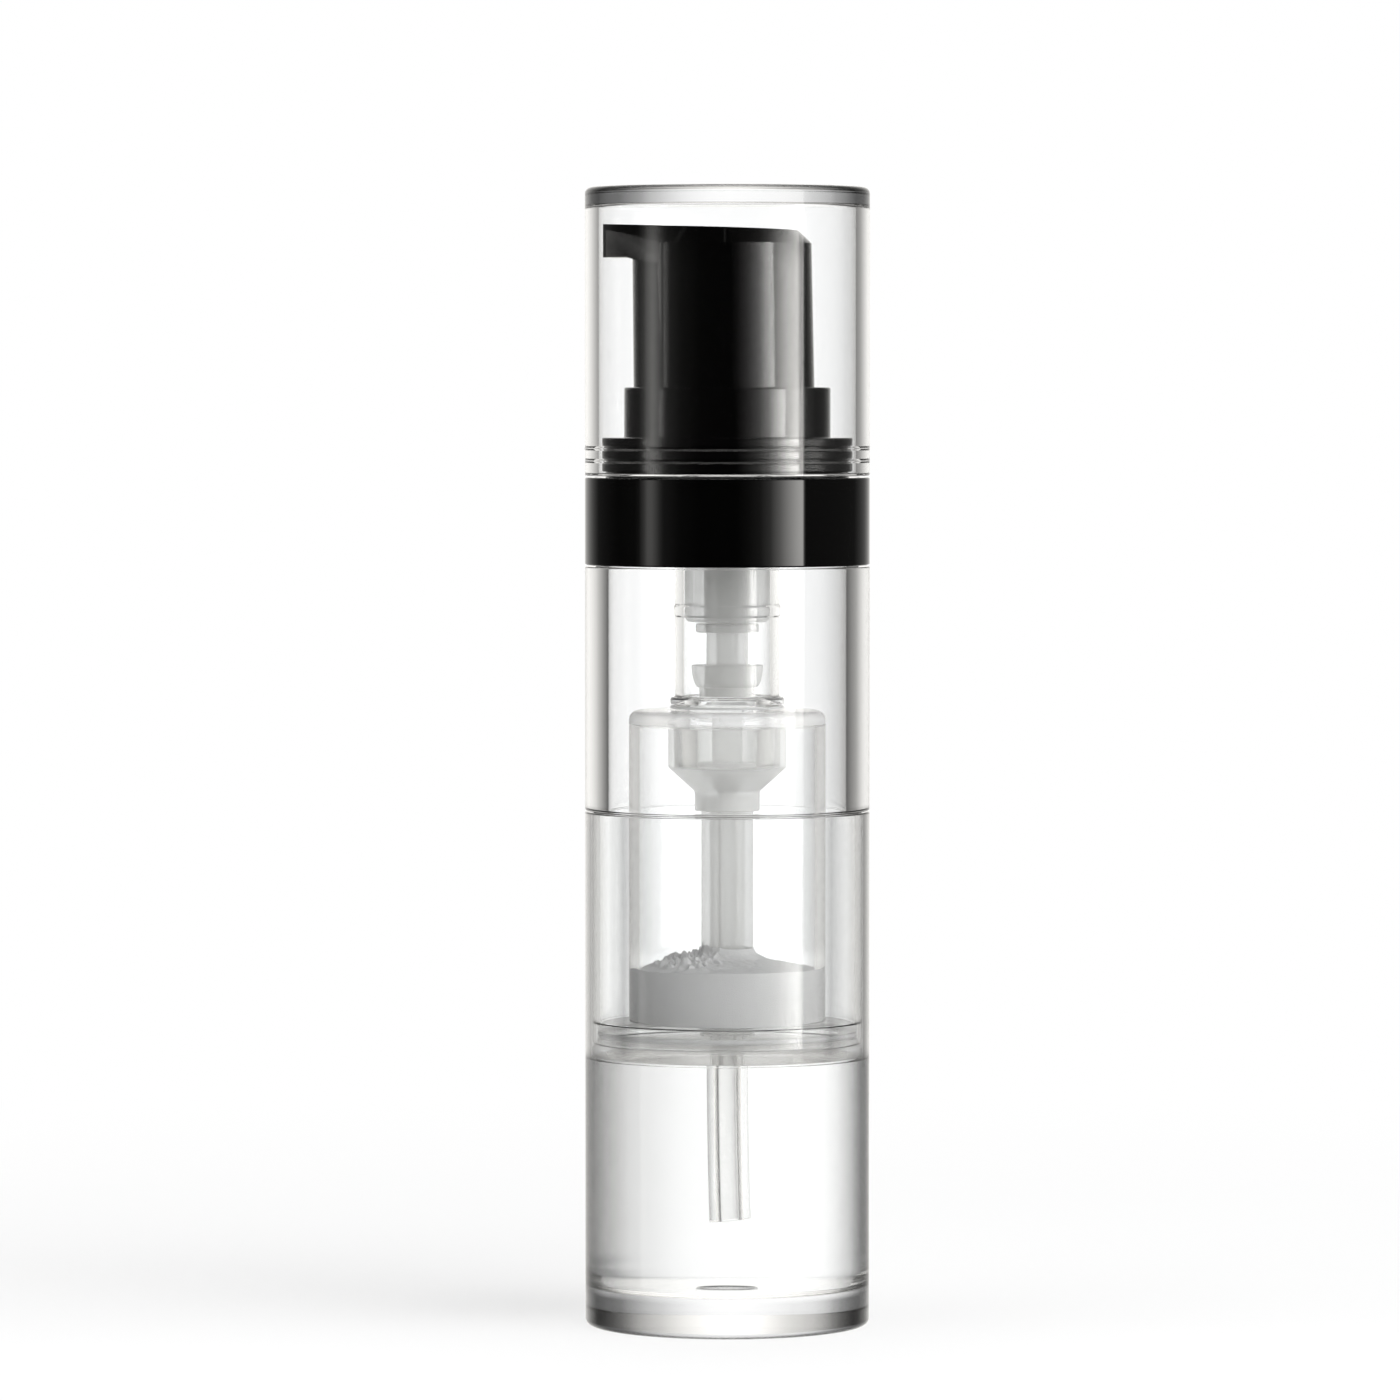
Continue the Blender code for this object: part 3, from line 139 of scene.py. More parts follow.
class StageSettings(bpy.types.PropertyGroup):
    """Floor, lights and camera."""

    floor: FloatVectorProperty(
        name="Floor", description="Floor's colour", subtype="COLOR", default=(0.9, 0.9, 0.9)
    )
    room: FloatProperty(name="Room Light", description="Soft light from all sides", default=0.6, min=0)
    softbox: FloatProperty(name="Softbox", description="Brightness of the softbox in reflections", default=8.0, min=0)
    contrast: FloatProperty(name="Contrast", description="Darkness beside the backdrop", default=1.0, min=0, max=1)
    key: FloatProperty(name="Key Light", description="Power of the key light", default=5.0, subtype="POWER")
    fill: FloatProperty(name="Fill Light", description="Power of the fill light", default=2.0, subtype="POWER")
    lens: FloatProperty(name="Lens", description="Focal length in millimetres", default=205.7, min=20)
    distance: FloatProperty(name="Distance", description="Camera to the bottle's axis", default=0.926, unit="LENGTH")
    eye_height: FloatProperty(name="Eye Height", description="Camera above the floor", default=0.1096, unit="LENGTH")
    aim_height: FloatProperty(name="Aim Height", description="Middle of the picture", default=0.0725, unit="LENGTH")
    aim_side: FloatProperty(name="Aim Side", description="Middle of the picture", default=-0.00316, unit="LENGTH")


# Node helpers


def graph(name):
    """A new node material and its tree, holding only the output."""
    made = bpy.data.materials.new(name)
    made.use_nodes = True
    tree = made.node_tree
    for node in list(tree.nodes):
        if node.type != "OUTPUT_MATERIAL":
            tree.nodes.remove(node)
    return made, tree


def add(tree, kind, settings=None, **inputs):
    """A node with its settings, and its inputs set to a value or linked to a socket."""
    node = tree.nodes.new(kind)
    for key, value in (settings or {}).items():
        setattr(node, key, value)
    for key, value in inputs.items():
        socket = node.inputs[int(key[1:])] if key[0] == "i" and key[1:].isdigit() else node.inputs[key.replace("_", " ")]
        if isinstance(value, bpy.types.NodeSocket):
            tree.links.new(value, socket)
        else:
            socket.default_value = value
    return node


def math_node(tree, operation, first, second=0.0, clamp=False):
    return add(tree, "ShaderNodeMath", {"operation": operation, "use_clamp": clamp}, i0=first, i1=second).outputs[0]


def ramp(tree, factor, stops, interpolation="LINEAR"):
    """A colour ramp of grey stops (place, brightness)."""
    node = tree.nodes.new("ShaderNodeValToRGB")
    tree.links.new(factor, node.inputs[0])
    node.color_ramp.interpolation = interpolation
    elements = node.color_ramp.elements
    while len(elements) > 1:
        elements.remove(elements[-1])
    for index, (place, level) in enumerate(stops):
        element = elements[0] if index == 0 else elements.new(place)
        element.position = place
        element.color = (level, level, level, 1.0)
    return node.outputs["Color"]


def surface_noise(tree, scale, detail=2.0, stretch=(1.0, 1.0, 1.0)):
    """Noise on object coordinates, with its size set in metres."""
    place = add(tree, "ShaderNodeTexCoord").outputs["Object"]
    turned_place = add(tree, "ShaderNodeMapping", Vector=place, Scale=stretch).outputs[0]
    return add(tree, "ShaderNodeTexNoise", Vector=turned_place, Scale=1.0 / scale, Detail=detail).outputs["Fac"]


def between(tree, factor, least, most):
    """A factor of 0 to 1 spread from least to most."""
    return add(
        tree, "ShaderNodeMapRange", i0=factor, i1=0.0, i2=1.0, i3=least, i4=most
    ).outputs[0]


def ripple(tree, height, distance, strength=1.0):
    """Bump from a height factor, as deep as distance."""
    return add(tree, "ShaderNodeBump", Height=height, Distance=distance, Strength=strength).outputs[0]


def finish(tree, shader):
    output = next(node for node in tree.nodes if node.type == "OUTPUT_MATERIAL")
    tree.links.new(shader, output.inputs["Surface"])


def let_light_through(tree, shader, tint):
    """Shadow rays and diffuse light pass a clear shell straight, so that what is inside is lit."""
    path = add(tree, "ShaderNodeLightPath").outputs
    soft = math_node(tree, "MAXIMUM", path["Is Shadow Ray"], path["Is Diffuse Ray"])
    straight = add(tree, "ShaderNodeBsdfTransparent", Color=(*tint, 1.0)).outputs[0]
    return add(tree, "ShaderNodeMixShader", i0=soft, i1=shader, i2=straight).outputs[0]


# Materials

MADE = {}


def once(name, maker, *values):
    if name not in MADE:
        MADE[name] = maker(name, *values)
    return MADE[name]


def clear_finish(name, tint, ior=1.5, veil=None, edge_shade_stops=None, low_shade_stops=None, zone=None, top_shade_stops=None):
    """Clear moulded plastic. Edge stops are painted shade: they darken the colour of the view through its skin by how
    steeply it is met.

    Low stops hold below zone's first two heights, and top stops above its last two.

    Veil is (cloudiness, cloudiness edge on, height, cloudiness above that height).
    """
    made, tree = graph(name)
    grain = surface_noise(tree, 9 * MM, stretch=(1.0, 1.0, 0.35))
    haze = surface_noise(tree, 2.5 * MM, detail=4.0)
    colour = add(tree, "ShaderNodeMix", {"data_type": "RGBA"}, i0=between(tree, haze, 0.0, 1.0)).outputs[2]
    mix = colour.node
    mix.inputs[6].default_value = (*tint, 1.0)
    mix.inputs[7].default_value = (*(value * 0.985 for value in tint), 1.0)
    if edge_shade_stops:
        # Painted shade: the skin's colour darkens by how edge-on it is met, on front faces only.
        facing = add(tree, "ShaderNodeLayerWeight", Blend=0.5).outputs["Facing"]
        shade = ramp(tree, facing, edge_shade_stops)
        if low_shade_stops:
            height = add(
                tree, "ShaderNodeSeparateXYZ", Vector=add(tree, "ShaderNodeTexCoord").outputs["Object"]
            ).outputs["Z"]
            above = add(
                tree, "ShaderNodeMapRange", {"interpolation_type": "SMOOTHSTEP"},
                i0=height, i1=zone[0], i2=zone[1], i3=0.0, i4=1.0,
            ).outputs[0]
            low_shade = ramp(tree, facing, low_shade_stops)
            both = add(tree, "ShaderNodeMix", {"data_type": "RGBA"}, i0=above, i6=low_shade, i7=shade)
            shade = both.outputs[2]
            if len(zone) > 2:
                beyond = add(
                    tree, "ShaderNodeMapRange", {"interpolation_type": "SMOOTHSTEP"},
                    i0=height, i1=zone[2], i2=zone[3], i3=0.0, i4=1.0,
                ).outputs[0]
                top_shade = ramp(tree, facing, top_shade_stops)
                all_three = add(tree, "ShaderNodeMix", {"data_type": "RGBA"}, i0=beyond, i6=shade, i7=top_shade)
                shade = all_three.outputs[2]
        inside = add(tree, "ShaderNodeNewGeometry").outputs["Backfacing"]
        kept = add(tree, "ShaderNodeMix", {"data_type": "RGBA"}, i0=inside, i6=shade, i7=(1.0, 1.0, 1.0, 1.0))
        colour = add(
            tree, "ShaderNodeMix", {"data_type": "RGBA", "blend_type": "MULTIPLY"}, i0=1.0, i6=colour, i7=kept.outputs[2]
        ).outputs[2]
    shader = add(
        tree,
        "ShaderNodeBsdfPrincipled",
        Base_Color=colour,
        Roughness=between(tree, haze, 0.0, 0.002),
        IOR=ior,
        Transmission_Weight=1.0,
        Normal=ripple(tree, grain, 0.0005 * MM),
    ).outputs[0]
    if veil:
        cloud = add(tree, "ShaderNodeBsdfDiffuse", Color=(0.75, 0.75, 0.75, 1.0)).outputs[0]
        steep = add(tree, "ShaderNodeLayerWeight", Blend=0.5).outputs["Facing"]
        share = between(tree, math_node(tree, "POWER", steep, 2.0), veil[0], veil[1])
        if len(veil) > 2:
            place = add(tree, "ShaderNodeSeparateXYZ", Vector=add(tree, "ShaderNodeTexCoord").outputs["Object"])
            over = add(
                tree, "ShaderNodeMapRange", {"interpolation_type": "SMOOTHSTEP"},
                i0=place.outputs["Z"], i1=veil[2] - 0.1 * MM, i2=veil[2] + 0.1 * MM, i3=0.0, i4=veil[3],
            ).outputs[0]
            share = math_node(tree, "MAXIMUM", share, over)
        share = math_node(tree, "MULTIPLY", share, between(tree, haze, 0.9, 1.1))
        shader = add(tree, "ShaderNodeMixShader", i0=share, i1=shader, i2=cloud).outputs[0]
    finish(tree, let_light_through(tree, shader, (0.98, 0.98, 0.98)))
    return made


def black_finish(name, colour):
    """Gloss black plastic with faint moulding waves."""
    made, tree = graph(name)
    grain = surface_noise(tree, 6 * MM)
    fine = surface_noise(tree, 0.35 * MM, detail=3.0)
    tone = add(tree, "ShaderNodeMix", {"data_type": "RGBA"}, i0=grain)
    tone.inputs[6].default_value = (*colour, 1.0)
    tone.inputs[7].default_value = (*(value * 1.6 for value in colour), 1.0)
    shader = add(
        tree,
        "ShaderNodeBsdfPrincipled",
        Base_Color=tone.outputs[2],
        Roughness=between(tree, fine, 0.02, 0.05),
        IOR=1.5,
        Normal=ripple(tree, grain, 0.001 * MM),
    ).outputs[0]
    finish(tree, shader)
    return made


def milky_finish(name, colour, through=0.5, roughness=0.3, dense=None):
    """Translucent white plastic: a soft grey body that shows what is behind it. Dense is (height, height, share)."""
    made, tree = graph(name)
    grain = surface_noise(tree, 3 * MM)
    fine = surface_noise(tree, 0.25 * MM, detail=3.0)
    tone = add(tree, "ShaderNodeMix", {"data_type": "RGBA"}, i0=grain)
    tone.inputs[6].default_value = (*colour, 1.0)
    tone.inputs[7].default_value = (*(value * 0.93 for value in colour), 1.0)
    normal = ripple(tree, fine, 0.008 * MM, 0.5)
    body = add(
        tree, "ShaderNodeBsdfPrincipled",
        Base_Color=tone.outputs[2], Roughness=between(tree, fine, roughness, roughness + 0.1), IOR=1.5, Normal=normal,
    ).outputs[0]
    behind = add(tree, "ShaderNodeBsdfTranslucent", Color=tone.outputs[2], Normal=normal).outputs[0]
    soft = add(tree, "ShaderNodeMixShader", i0=0.35, i1=body, i2=behind).outputs[0]
    steep = add(tree, "ShaderNodeLayerWeight", Blend=0.5).outputs["Facing"]
    clear_share = between(tree, math_node(tree, "POWER", steep, 2.0), through, through * 0.55)
    if dense:
        height = add(tree, "ShaderNodeSeparateXYZ", Vector=add(tree, "ShaderNodeTexCoord").outputs["Object"]).outputs["Z"]
        upper = add(
            tree, "ShaderNodeMapRange", {"interpolation_type": "SMOOTHSTEP"},
            i0=height, i1=dense[0], i2=dense[1], i3=dense[2], i4=1.0,
        ).outputs[0]
        clear_share = math_node(tree, "MULTIPLY", clear_share, upper)
    straight = add(tree, "ShaderNodeBsdfTransparent", Color=(0.985, 0.985, 0.98, 1.0)).outputs[0]
    shader = add(tree, "ShaderNodeMixShader", i0=clear_share, i1=soft, i2=straight).outputs[0]
    finish(tree, let_light_through(tree, shader, (0.92, 0.92, 0.915)))
    return made


def powder_finish(name, colour):
    """Dry white powder: matt, with grains and small shadows between clumps."""
    made, tree = graph(name)
    clumps = surface_noise(tree, 1.6 * MM, detail=4.0)
    grains = surface_noise(tree, 0.12 * MM, detail=2.0)
    tone = add(tree, "ShaderNodeMix", {"data_type": "RGBA"}, i0=clumps)
    tone.inputs[6].default_value = (*(value * 0.93 for value in colour), 1.0)
    tone.inputs[7].default_value = (*(min(value * 1.07, 1.0) for value in colour), 1.0)
    shader = add(
        tree,
        "ShaderNodeBsdfPrincipled",
        Base_Color=tone.outputs[2],
        Roughness=0.95,
        IOR=1.3,
        Normal=ripple(tree, grains, 0.05 * MM),
    ).outputs[0]
    finish(tree, shader)
    return made


def steel_finish(name):
    """Drawn spring steel with fine lines along the wire."""
    made, tree = graph(name)
    lines = surface_noise(tree, 0.15 * MM, detail=3.0, stretch=(1.0, 1.0, 4.0))
    shader = add(
        tree,
        "ShaderNodeBsdfPrincipled",
        Base_Color=(0.62, 0.61, 0.6, 1.0),
        Metallic=1.0,
        Roughness=between(tree, lines, 0.22, 0.38),
        Normal=ripple(tree, lines, 0.005 * MM),
    ).outputs[0]
    finish(tree, shader)
    return made


# Painted shade in the clear skins' colour: level of the view through the liquid's wall and through the base, and
# through the other skins below, from facing (0) to edge on (1)
LIQUID_EDGE_PAINTED_SHADE = [(0.0, 1.0), (0.134, 1.0), (0.21, 0.95), (0.286, 0.92), (0.34, 0.82), (0.41, 0.62), (0.47, 0.5), (0.57, 0.24),
               (0.65, 0.1), (0.75, 0.06), (1.0, 0.06)]
BASE_EDGE_PAINTED_SHADE = [(0.0, 1.0), (0.06, 0.85), (0.12, 0.68), (0.16, 0.64), (0.21, 0.58), (0.286, 0.38), (0.34, 0.2), (0.41, 0.1),
             (0.5, 0.05), (0.61, 0.022), (0.8, 0.05), (1.0, 0.15)]
SOCKET_EDGE_PAINTED_SHADE = [(0.0, 1.0), (0.03, 1.0), (0.05, 0.97), (0.08, 0.92), (0.105, 0.86), (0.134, 0.82), (0.17, 0.76), (0.215, 0.74),
               (0.258, 0.6), (0.317, 0.34), (0.38, 0.6), (0.455, 1.0), (0.56, 0.88), (0.69, 0.42), (1.0, 0.25)]
ROOF_EDGE_PAINTED_SHADE = [(0.0, 1.0), (0.06, 0.9), (0.117, 0.68), (0.2, 0.42), (0.306, 0.26), (0.35, 0.16), (0.49, 0.06), (0.57, 0.02),
             (0.69, 0.02), (1.0, 0.1)]
DOME_EDGE_PAINTED_SHADE = [(0.0, 1.0), (0.1, 0.98), (0.17, 0.93), (0.232, 0.84), (0.306, 0.74), (0.4, 0.62), (0.534, 0.5), (0.74, 0.42),
             (1.0, 0.35)]
HEAP_EDGE_PAINTED_SHADE = [(0.0, 1.0), (0.306, 1.0), (0.4, 0.95), (0.534, 0.85), (0.74, 0.7), (1.0, 0.6)]


def clear_skin():
    return once("clear_skin", clear_finish, tuple(bpy.context.scene.bottle_finishes.clear))


def roof_skin_painted_shade():
    """The overcap's outside, with painted shade that darkens its roof's colour towards the edges, where its thick flat
    roof shows dark ends.
    """
    tint = tuple(bpy.context.scene.bottle_finishes.clear)
    roof = high("overcap") - bpy.context.scene.bottle_shells.cap_roof
    if "roof_skin_painted_shade" not in MADE:
        plain = [(0.0, 1.0), (1.0, 1.0)]
        MADE["roof_skin_painted_shade"] = clear_finish("roof_skin_painted_shade", tint, 1.5, None, ROOF_EDGE_PAINTED_SHADE, plain, (roof - 0.3 * MM, roof))
    return MADE["roof_skin_painted_shade"]


def clear_core():
    return once("clear_core", clear_finish, tuple(bpy.context.scene.bottle_finishes.clear))


def liquid_skin_painted_shade():
    """The lower bottle's outside, with painted shade that darkens its colour towards the edges, where a full round
    bottle shows dark edges.
    """
    tint = tuple(bpy.context.scene.bottle_finishes.clear)
    base = bpy.context.scene.bottle_shells.base
    ledge = low("seal_disc")
    zone = (base - 0.6 * MM, base + 0.2 * MM, ledge - 0.4 * MM, ledge + 1.5 * MM)
    if "liquid_skin_painted_shade" not in MADE:
        MADE["liquid_skin_painted_shade"] = clear_finish("liquid_skin_painted_shade", tint, 1.5, None, LIQUID_EDGE_PAINTED_SHADE, BASE_EDGE_PAINTED_SHADE, zone, SOCKET_EDGE_PAINTED_SHADE)
    return MADE["liquid_skin_painted_shade"]


def liquid():
    return once("liquid", clear_finish, tuple(bpy.context.scene.bottle_finishes.liquid), 1.333)


def dome_core():
    plate = high("chamber_dome") - 1.6 * MM
    return once("dome_core", clear_finish, tuple(bpy.context.scene.bottle_finishes.clear), 1.12, (0.0, 0.0, plate, 0.25))


def plug_milky():
    return once("plug_milky", milky_finish, (0.92, 0.92, 0.91), 0.8, 0.15)


def waist_clear():
    return once("waist_clear", clear_finish, tuple(bpy.context.scene.bottle_finishes.clear), 1.15, (0.12, 0.2))


def wet_floor():
    """Where the liquid lies on the thick foot, the two bend light almost alike."""
    return once("wet_floor", clear_finish, tuple(bpy.context.scene.bottle_finishes.clear), 1.05)


# Painted shade: a dark grey tint on the small clear ring on the bottle's floor, so that it shows as a dark outline.
def gate_mark():
    return once("gate_mark", clear_finish, (0.25, 0.25, 0.25), 1.1)


def tube_bore():
    return once("tube_bore", clear_finish, (0.96, 0.96, 0.955), 1.5, (0.15, 0.1))


def dome_skin_haze_and_painted_shade():
    """The powder chamber's outside: faintly dusty, with painted shade that darkens its colour where its wall is seen
    along its length.
    """
    tint = tuple(bpy.context.scene.bottle_finishes.clear)
    plate = high("chamber_dome") - 1.6 * MM
    heap = high("powder_charge")
    zone = (heap - 1.5 * MM, heap + 0.5 * MM)
    if "dome_skin_haze_and_painted_shade" not in MADE:
        veil = (0.05, 0.2, plate, 0.3)
        MADE["dome_skin_haze_and_painted_shade"] = clear_finish("dome_skin_haze_and_painted_shade", tint, 1.12, veil, DOME_EDGE_PAINTED_SHADE, HEAP_EDGE_PAINTED_SHADE, zone)
    return MADE["dome_skin_haze_and_painted_shade"]


def black_plastic():
    return once("black_plastic", black_finish, tuple(bpy.context.scene.bottle_finishes.black))


def milky_plastic():
    return once("milky_plastic", milky_finish, tuple(bpy.context.scene.bottle_finishes.milky), 0.64, 0.25)


def valve_plastic():
    colour = tuple(bpy.context.scene.bottle_finishes.milky)
    floor = high("valve_body") - 4.9 * MM
    return once("valve_plastic", milky_finish, colour, 0.78, 0.2, (floor - 0.3 * MM, floor + 0.3 * MM, 0.5))


def sheath_plastic():
    return once("sheath_plastic", milky_finish, tuple(bpy.context.scene.bottle_finishes.milky), 0.62, 0.2)


def disc_plastic():
    return once("disc_plastic", milky_finish, tuple(bpy.context.scene.bottle_finishes.milky), 0.78, 0.2)


def tube_plastic():
    return once("tube_plastic", clear_finish, (0.96, 0.96, 0.955), 1.128, (0.07, 0.2))


def seal_rubber():
    return once("seal_rubber", milky_finish, (0.66, 0.66, 0.66), 0.3, 0.4)


def powder_white():
    return once("powder", powder_finish, tuple(bpy.context.scene.bottle_finishes.powder))


def spring_steel():
    return once("spring_steel", steel_finish)


# Mesh helpers


def to_piece(name, bm, finishes, body, slot, *nodes):
    """Makes a finished piece of a mesh: smooth between its edges and riding on its body, or, when body is
    (body, body, start, end), left on no body with its transform baked."""
    mesh = bpy.data.meshes.new(name)
    bm.to_mesh(mesh)
    bm.free()
    for used in finishes:
        mesh.materials.append(used)
    mesh.shade_smooth()
    mesh.set_sharp_from_angle(angle=SMOOTH_ANGLE)
    piece = bpy.data.objects.new(name, mesh)
    bpy.context.scene.collection.objects.link(piece)
    flat = piece.modifiers.new("Flat faces", "WEIGHTED_NORMAL")
    flat.keep_sharp = True
    if isinstance(body, tuple):
        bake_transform(piece)
    else:
        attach(piece, body)
    if nodes:
        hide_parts(*nodes)
    return piece


def outline(corners, closed, segments=4):
    """A wire outline in the XZ plane. A corner is (radius, height), or (radius, height, rounding)."""
    bm = bmesh.new()
    points = [bm.verts.new((corner[0], 0.0, corner[1])) for corner in corners]
    for first, second in zip(points, points[1:]):
        bm.edges.new((first, second))
    if closed:
        bm.edges.new((points[-1], points[0]))
    for index, corner in enumerate(corners):
        if len(corner) < 3 or not corner[2]:
            continue
        here = points[index]
        arms = [edge.other_vert(here).co - here.co for edge in here.link_edges]
        half_angle = arms[0].angle(arms[1]) / 2
        bmesh.ops.bevel(
            bm,
            geom=[here],
            offset=corner[2] / math.tan(half_angle),
            offset_type="OFFSET",
            segments=segments,
            profile=0.5,
            affect="VERTICES",
            material=-1,
        )
    return bm


def turn(corners, steps, closed=True, segments=4):
    """A solid turned about +Z from its outline, with welded seams and faces outwards."""
    bm = outline(corners, closed, segments)
    bmesh.ops.spin(
        bm, geom=bm.verts[:] + bm.edges[:], axis=(0.0, 0.0, 1.0), angle=math.tau, steps=steps, use_merge=True
    )
    bmesh.ops.remove_doubles(bm, verts=bm.verts, dist=WELD)
    bmesh.ops.recalc_face_normals(bm, faces=bm.faces)
    return bm


def paint(bm, test, index):
    """Gives the faces that pass a test of (radius, height, outward) this material index."""
    for face in bm.faces:
        middle = face.calc_center_median()
        radius = math.hypot(middle.x, middle.y)
        outward = (face.normal.x * middle.x + face.normal.y * middle.y) / max(radius, WELD)
        if test(radius, middle.z, outward):
            face.material_index = index


def dress(node, finish_made):
    """A carried-over CAD node's better material."""
    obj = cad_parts[node]
    obj.data.materials.clear()
    obj.data.materials.append(finish_made)


# Pieces


class PUMPBOTTLE_OT_lower_bottle(bpy.types.Operator):
    """The lower bottle: thick foot, liquid chamber, and the thin socket above its ledge"""

    bl_idname = "pump_bottle.lower_bottle"
    bl_label = "Lower Bottle"

    def execute(self, context):
        sizes = context.scene.bottle_shells
        radius = reach("lower_bottle")
        top = high("lower_bottle")
        ledge = low("seal_disc") - 0.2 * MM
        bore = radius - sizes.reservoir_wall
        socket = radius - sizes.socket_wall
        ring = radius - 1.8 * MM
        corners = [
            (0.0, sizes.base),
            (2.3 * MM, sizes.base),
            (2.45 * MM, sizes.base + 0.2 * MM, 0.05 * MM),
            (2.6 * MM, sizes.base + 0.2 * MM, 0.05 * MM),
            (2.75 * MM, sizes.base),
            (bore, sizes.base, 1.2 * MM),
            (bore, ledge, 0.1 * MM),
            (socket, ledge, 0.1 * MM),
            (socket, top, sizes.edge),
            (radius, top, sizes.edge),
            (radius, 0.0, 0.8 * MM),
            (ring, 0.0, 0.2 * MM),
            (ring - 0.5 * MM, 0.5 * MM, 0.2 * MM),
            (0.0, 0.5 * MM),
        ]
        bm = turn(corners, sizes.steps, closed=False)
        paint(bm, lambda r, z, out: r > radius - 0.9 * MM and (out > 0.5 or z < 1.0 * MM), 1)
        floor = sizes.base - 0.05 * MM
        paint(bm, lambda r, z, out: r < bore - 0.9 * MM and floor < z < floor + MM, 3)
        paint(bm, lambda r, z, out: 2.3 * MM < r < 2.75 * MM and floor < z < floor + MM, 2)
        finishes = [clear_core(), liquid_skin_painted_shade(), gate_mark(), wet_floor()]
        to_piece("lower_bottle_shell", bm, finishes, "base", "clear_plastic", "lower_bottle")
        return {"FINISHED"}


class PUMPBOTTLE_OT_liquid(bpy.types.Operator):
    """The liquid that fills the lower chamber up to the seal disc"""

    bl_idname = "pump_bottle.liquid"
    bl_label = "Liquid"

    def execute(self, context):
        sizes = context.scene.bottle_shells
        wet = 0.02 * MM
        bore = reach("lower_bottle") - sizes.reservoir_wall + wet
        floor = sizes.base - wet
        top = low("seal_disc") + wet
        corners = [
            (0.0, top),
            (bore, top, 0.05 * MM),
            (bore, floor, 1.2 * MM),
            (2.75 * MM, floor),
            (2.6 * MM, floor + 0.2 * MM, 0.05 * MM),
            (2.45 * MM, floor + 0.2 * MM, 0.05 * MM),
            (2.3 * MM, floor),
            (0.0, floor),
        ]
        bm = turn(corners, sizes.steps, closed=False)
        paint(bm, lambda r, z, out: r < bore - 0.9 * MM and z < floor + MM, 1)
        to_piece("liquid_fill", bm, [liquid(), wet_floor()], "base", "clear_plastic")
        return {"FINISHED"}


class PUMPBOTTLE_OT_upper_bottle(bpy.types.Operator):
    """The upper bottle: thick sleeve, the rim in the band, and the spigot in the lower bottle"""

    bl_idname = "pump_bottle.upper_bottle"
    bl_label = "Upper Bottle"

    def execute(self, context):
        sizes = context.scene.bottle_shells
        radius = reach("upper_bottle")
        rim_top = high("upper_bottle")
        shoulder = low("band") - 0.2 * MM
        seam = high("lower_bottle") + 0.2 * MM
        bottom = low("upper_bottle")
        bore = radius - sizes.sleeve_wall
        rim = bore + 1.4 * MM
        spigot = radius - sizes.socket_wall - 0.15 * MM
        spigot_bore = spigot - sizes.spigot_wall
        seat = reach("chamber_plug") + 0.15 * MM
        seat_top = high("chamber_plug") + 0.2 * MM
        edge = sizes.edge
        corners = [
            (bore, rim_top, edge),
            (rim, rim_top, edge),
            (rim, shoulder, 0.1 * MM),
            (radius, shoulder, edge),
            (radius, seam, edge),
            (spigot, seam, 0.1 * MM),
            (spigot, bottom, 0.4 * MM),
            (seat, bottom, 0.05 * MM),
            (seat, seat_top, 0.05 * MM),
            (spigot_bore, seat_top, 0.15 * MM),
            (spigot_bore, seam, 0.3 * MM),
            (bore, seam, 0.25 * MM),
        ]
        bm = turn(corners, sizes.steps)
        paint(bm, lambda r, z, out: out > 0.3, 1)
        to_piece("upper_bottle_shell", bm, [clear_core(), clear_skin()], "upper", "clear_plastic", "upper_bottle")
        return {"FINISHED"}


class PUMPBOTTLE_OT_overcap(bpy.types.Operator):
    """The clear overcap with two beads inside its rim"""

    bl_idname = "pump_bottle.overcap"
    bl_label = "Overcap"

    def execute(self, context):
        sizes = context.scene.bottle_shells
        radius = reach("overcap")
        bottom = low("overcap")
        top = high("overcap")
        bore = radius - sizes.cap_wall
        roof = top - sizes.cap_roof
        corners = [
            (0.0, top),
            (radius, top, 0.75 * MM),
            (radius, bottom, sizes.edge),
            (bore + 0.3 * MM, bottom, 0.08 * MM),
            (bore, bottom + 0.3 * MM, 0.08 * MM),
        ]
        groove = high("band") + 0.7 * MM + 1.0 * MM + 0.225 * MM
        for _ in range(2):
            corners += [
                (bore, groove - 0.25 * MM, 0.1 * MM),
                (bore - 0.05 * MM, groove, 0.3 * MM),
                (bore, groove + 0.25 * MM, 0.1 * MM),
            ]
            groove += 1.45 * MM
        corners += [(bore, roof, 0.5 * MM), (0.0, roof)]
        bm = turn(corners, sizes.steps, closed=False)
        paint(bm, lambda r, z, out: out > 0.3, 1)
        to_piece("overcap_shell", bm, [clear_core(), roof_skin_painted_shade()], "cap", "clear_plastic", "overcap")
        return {"FINISHED"}


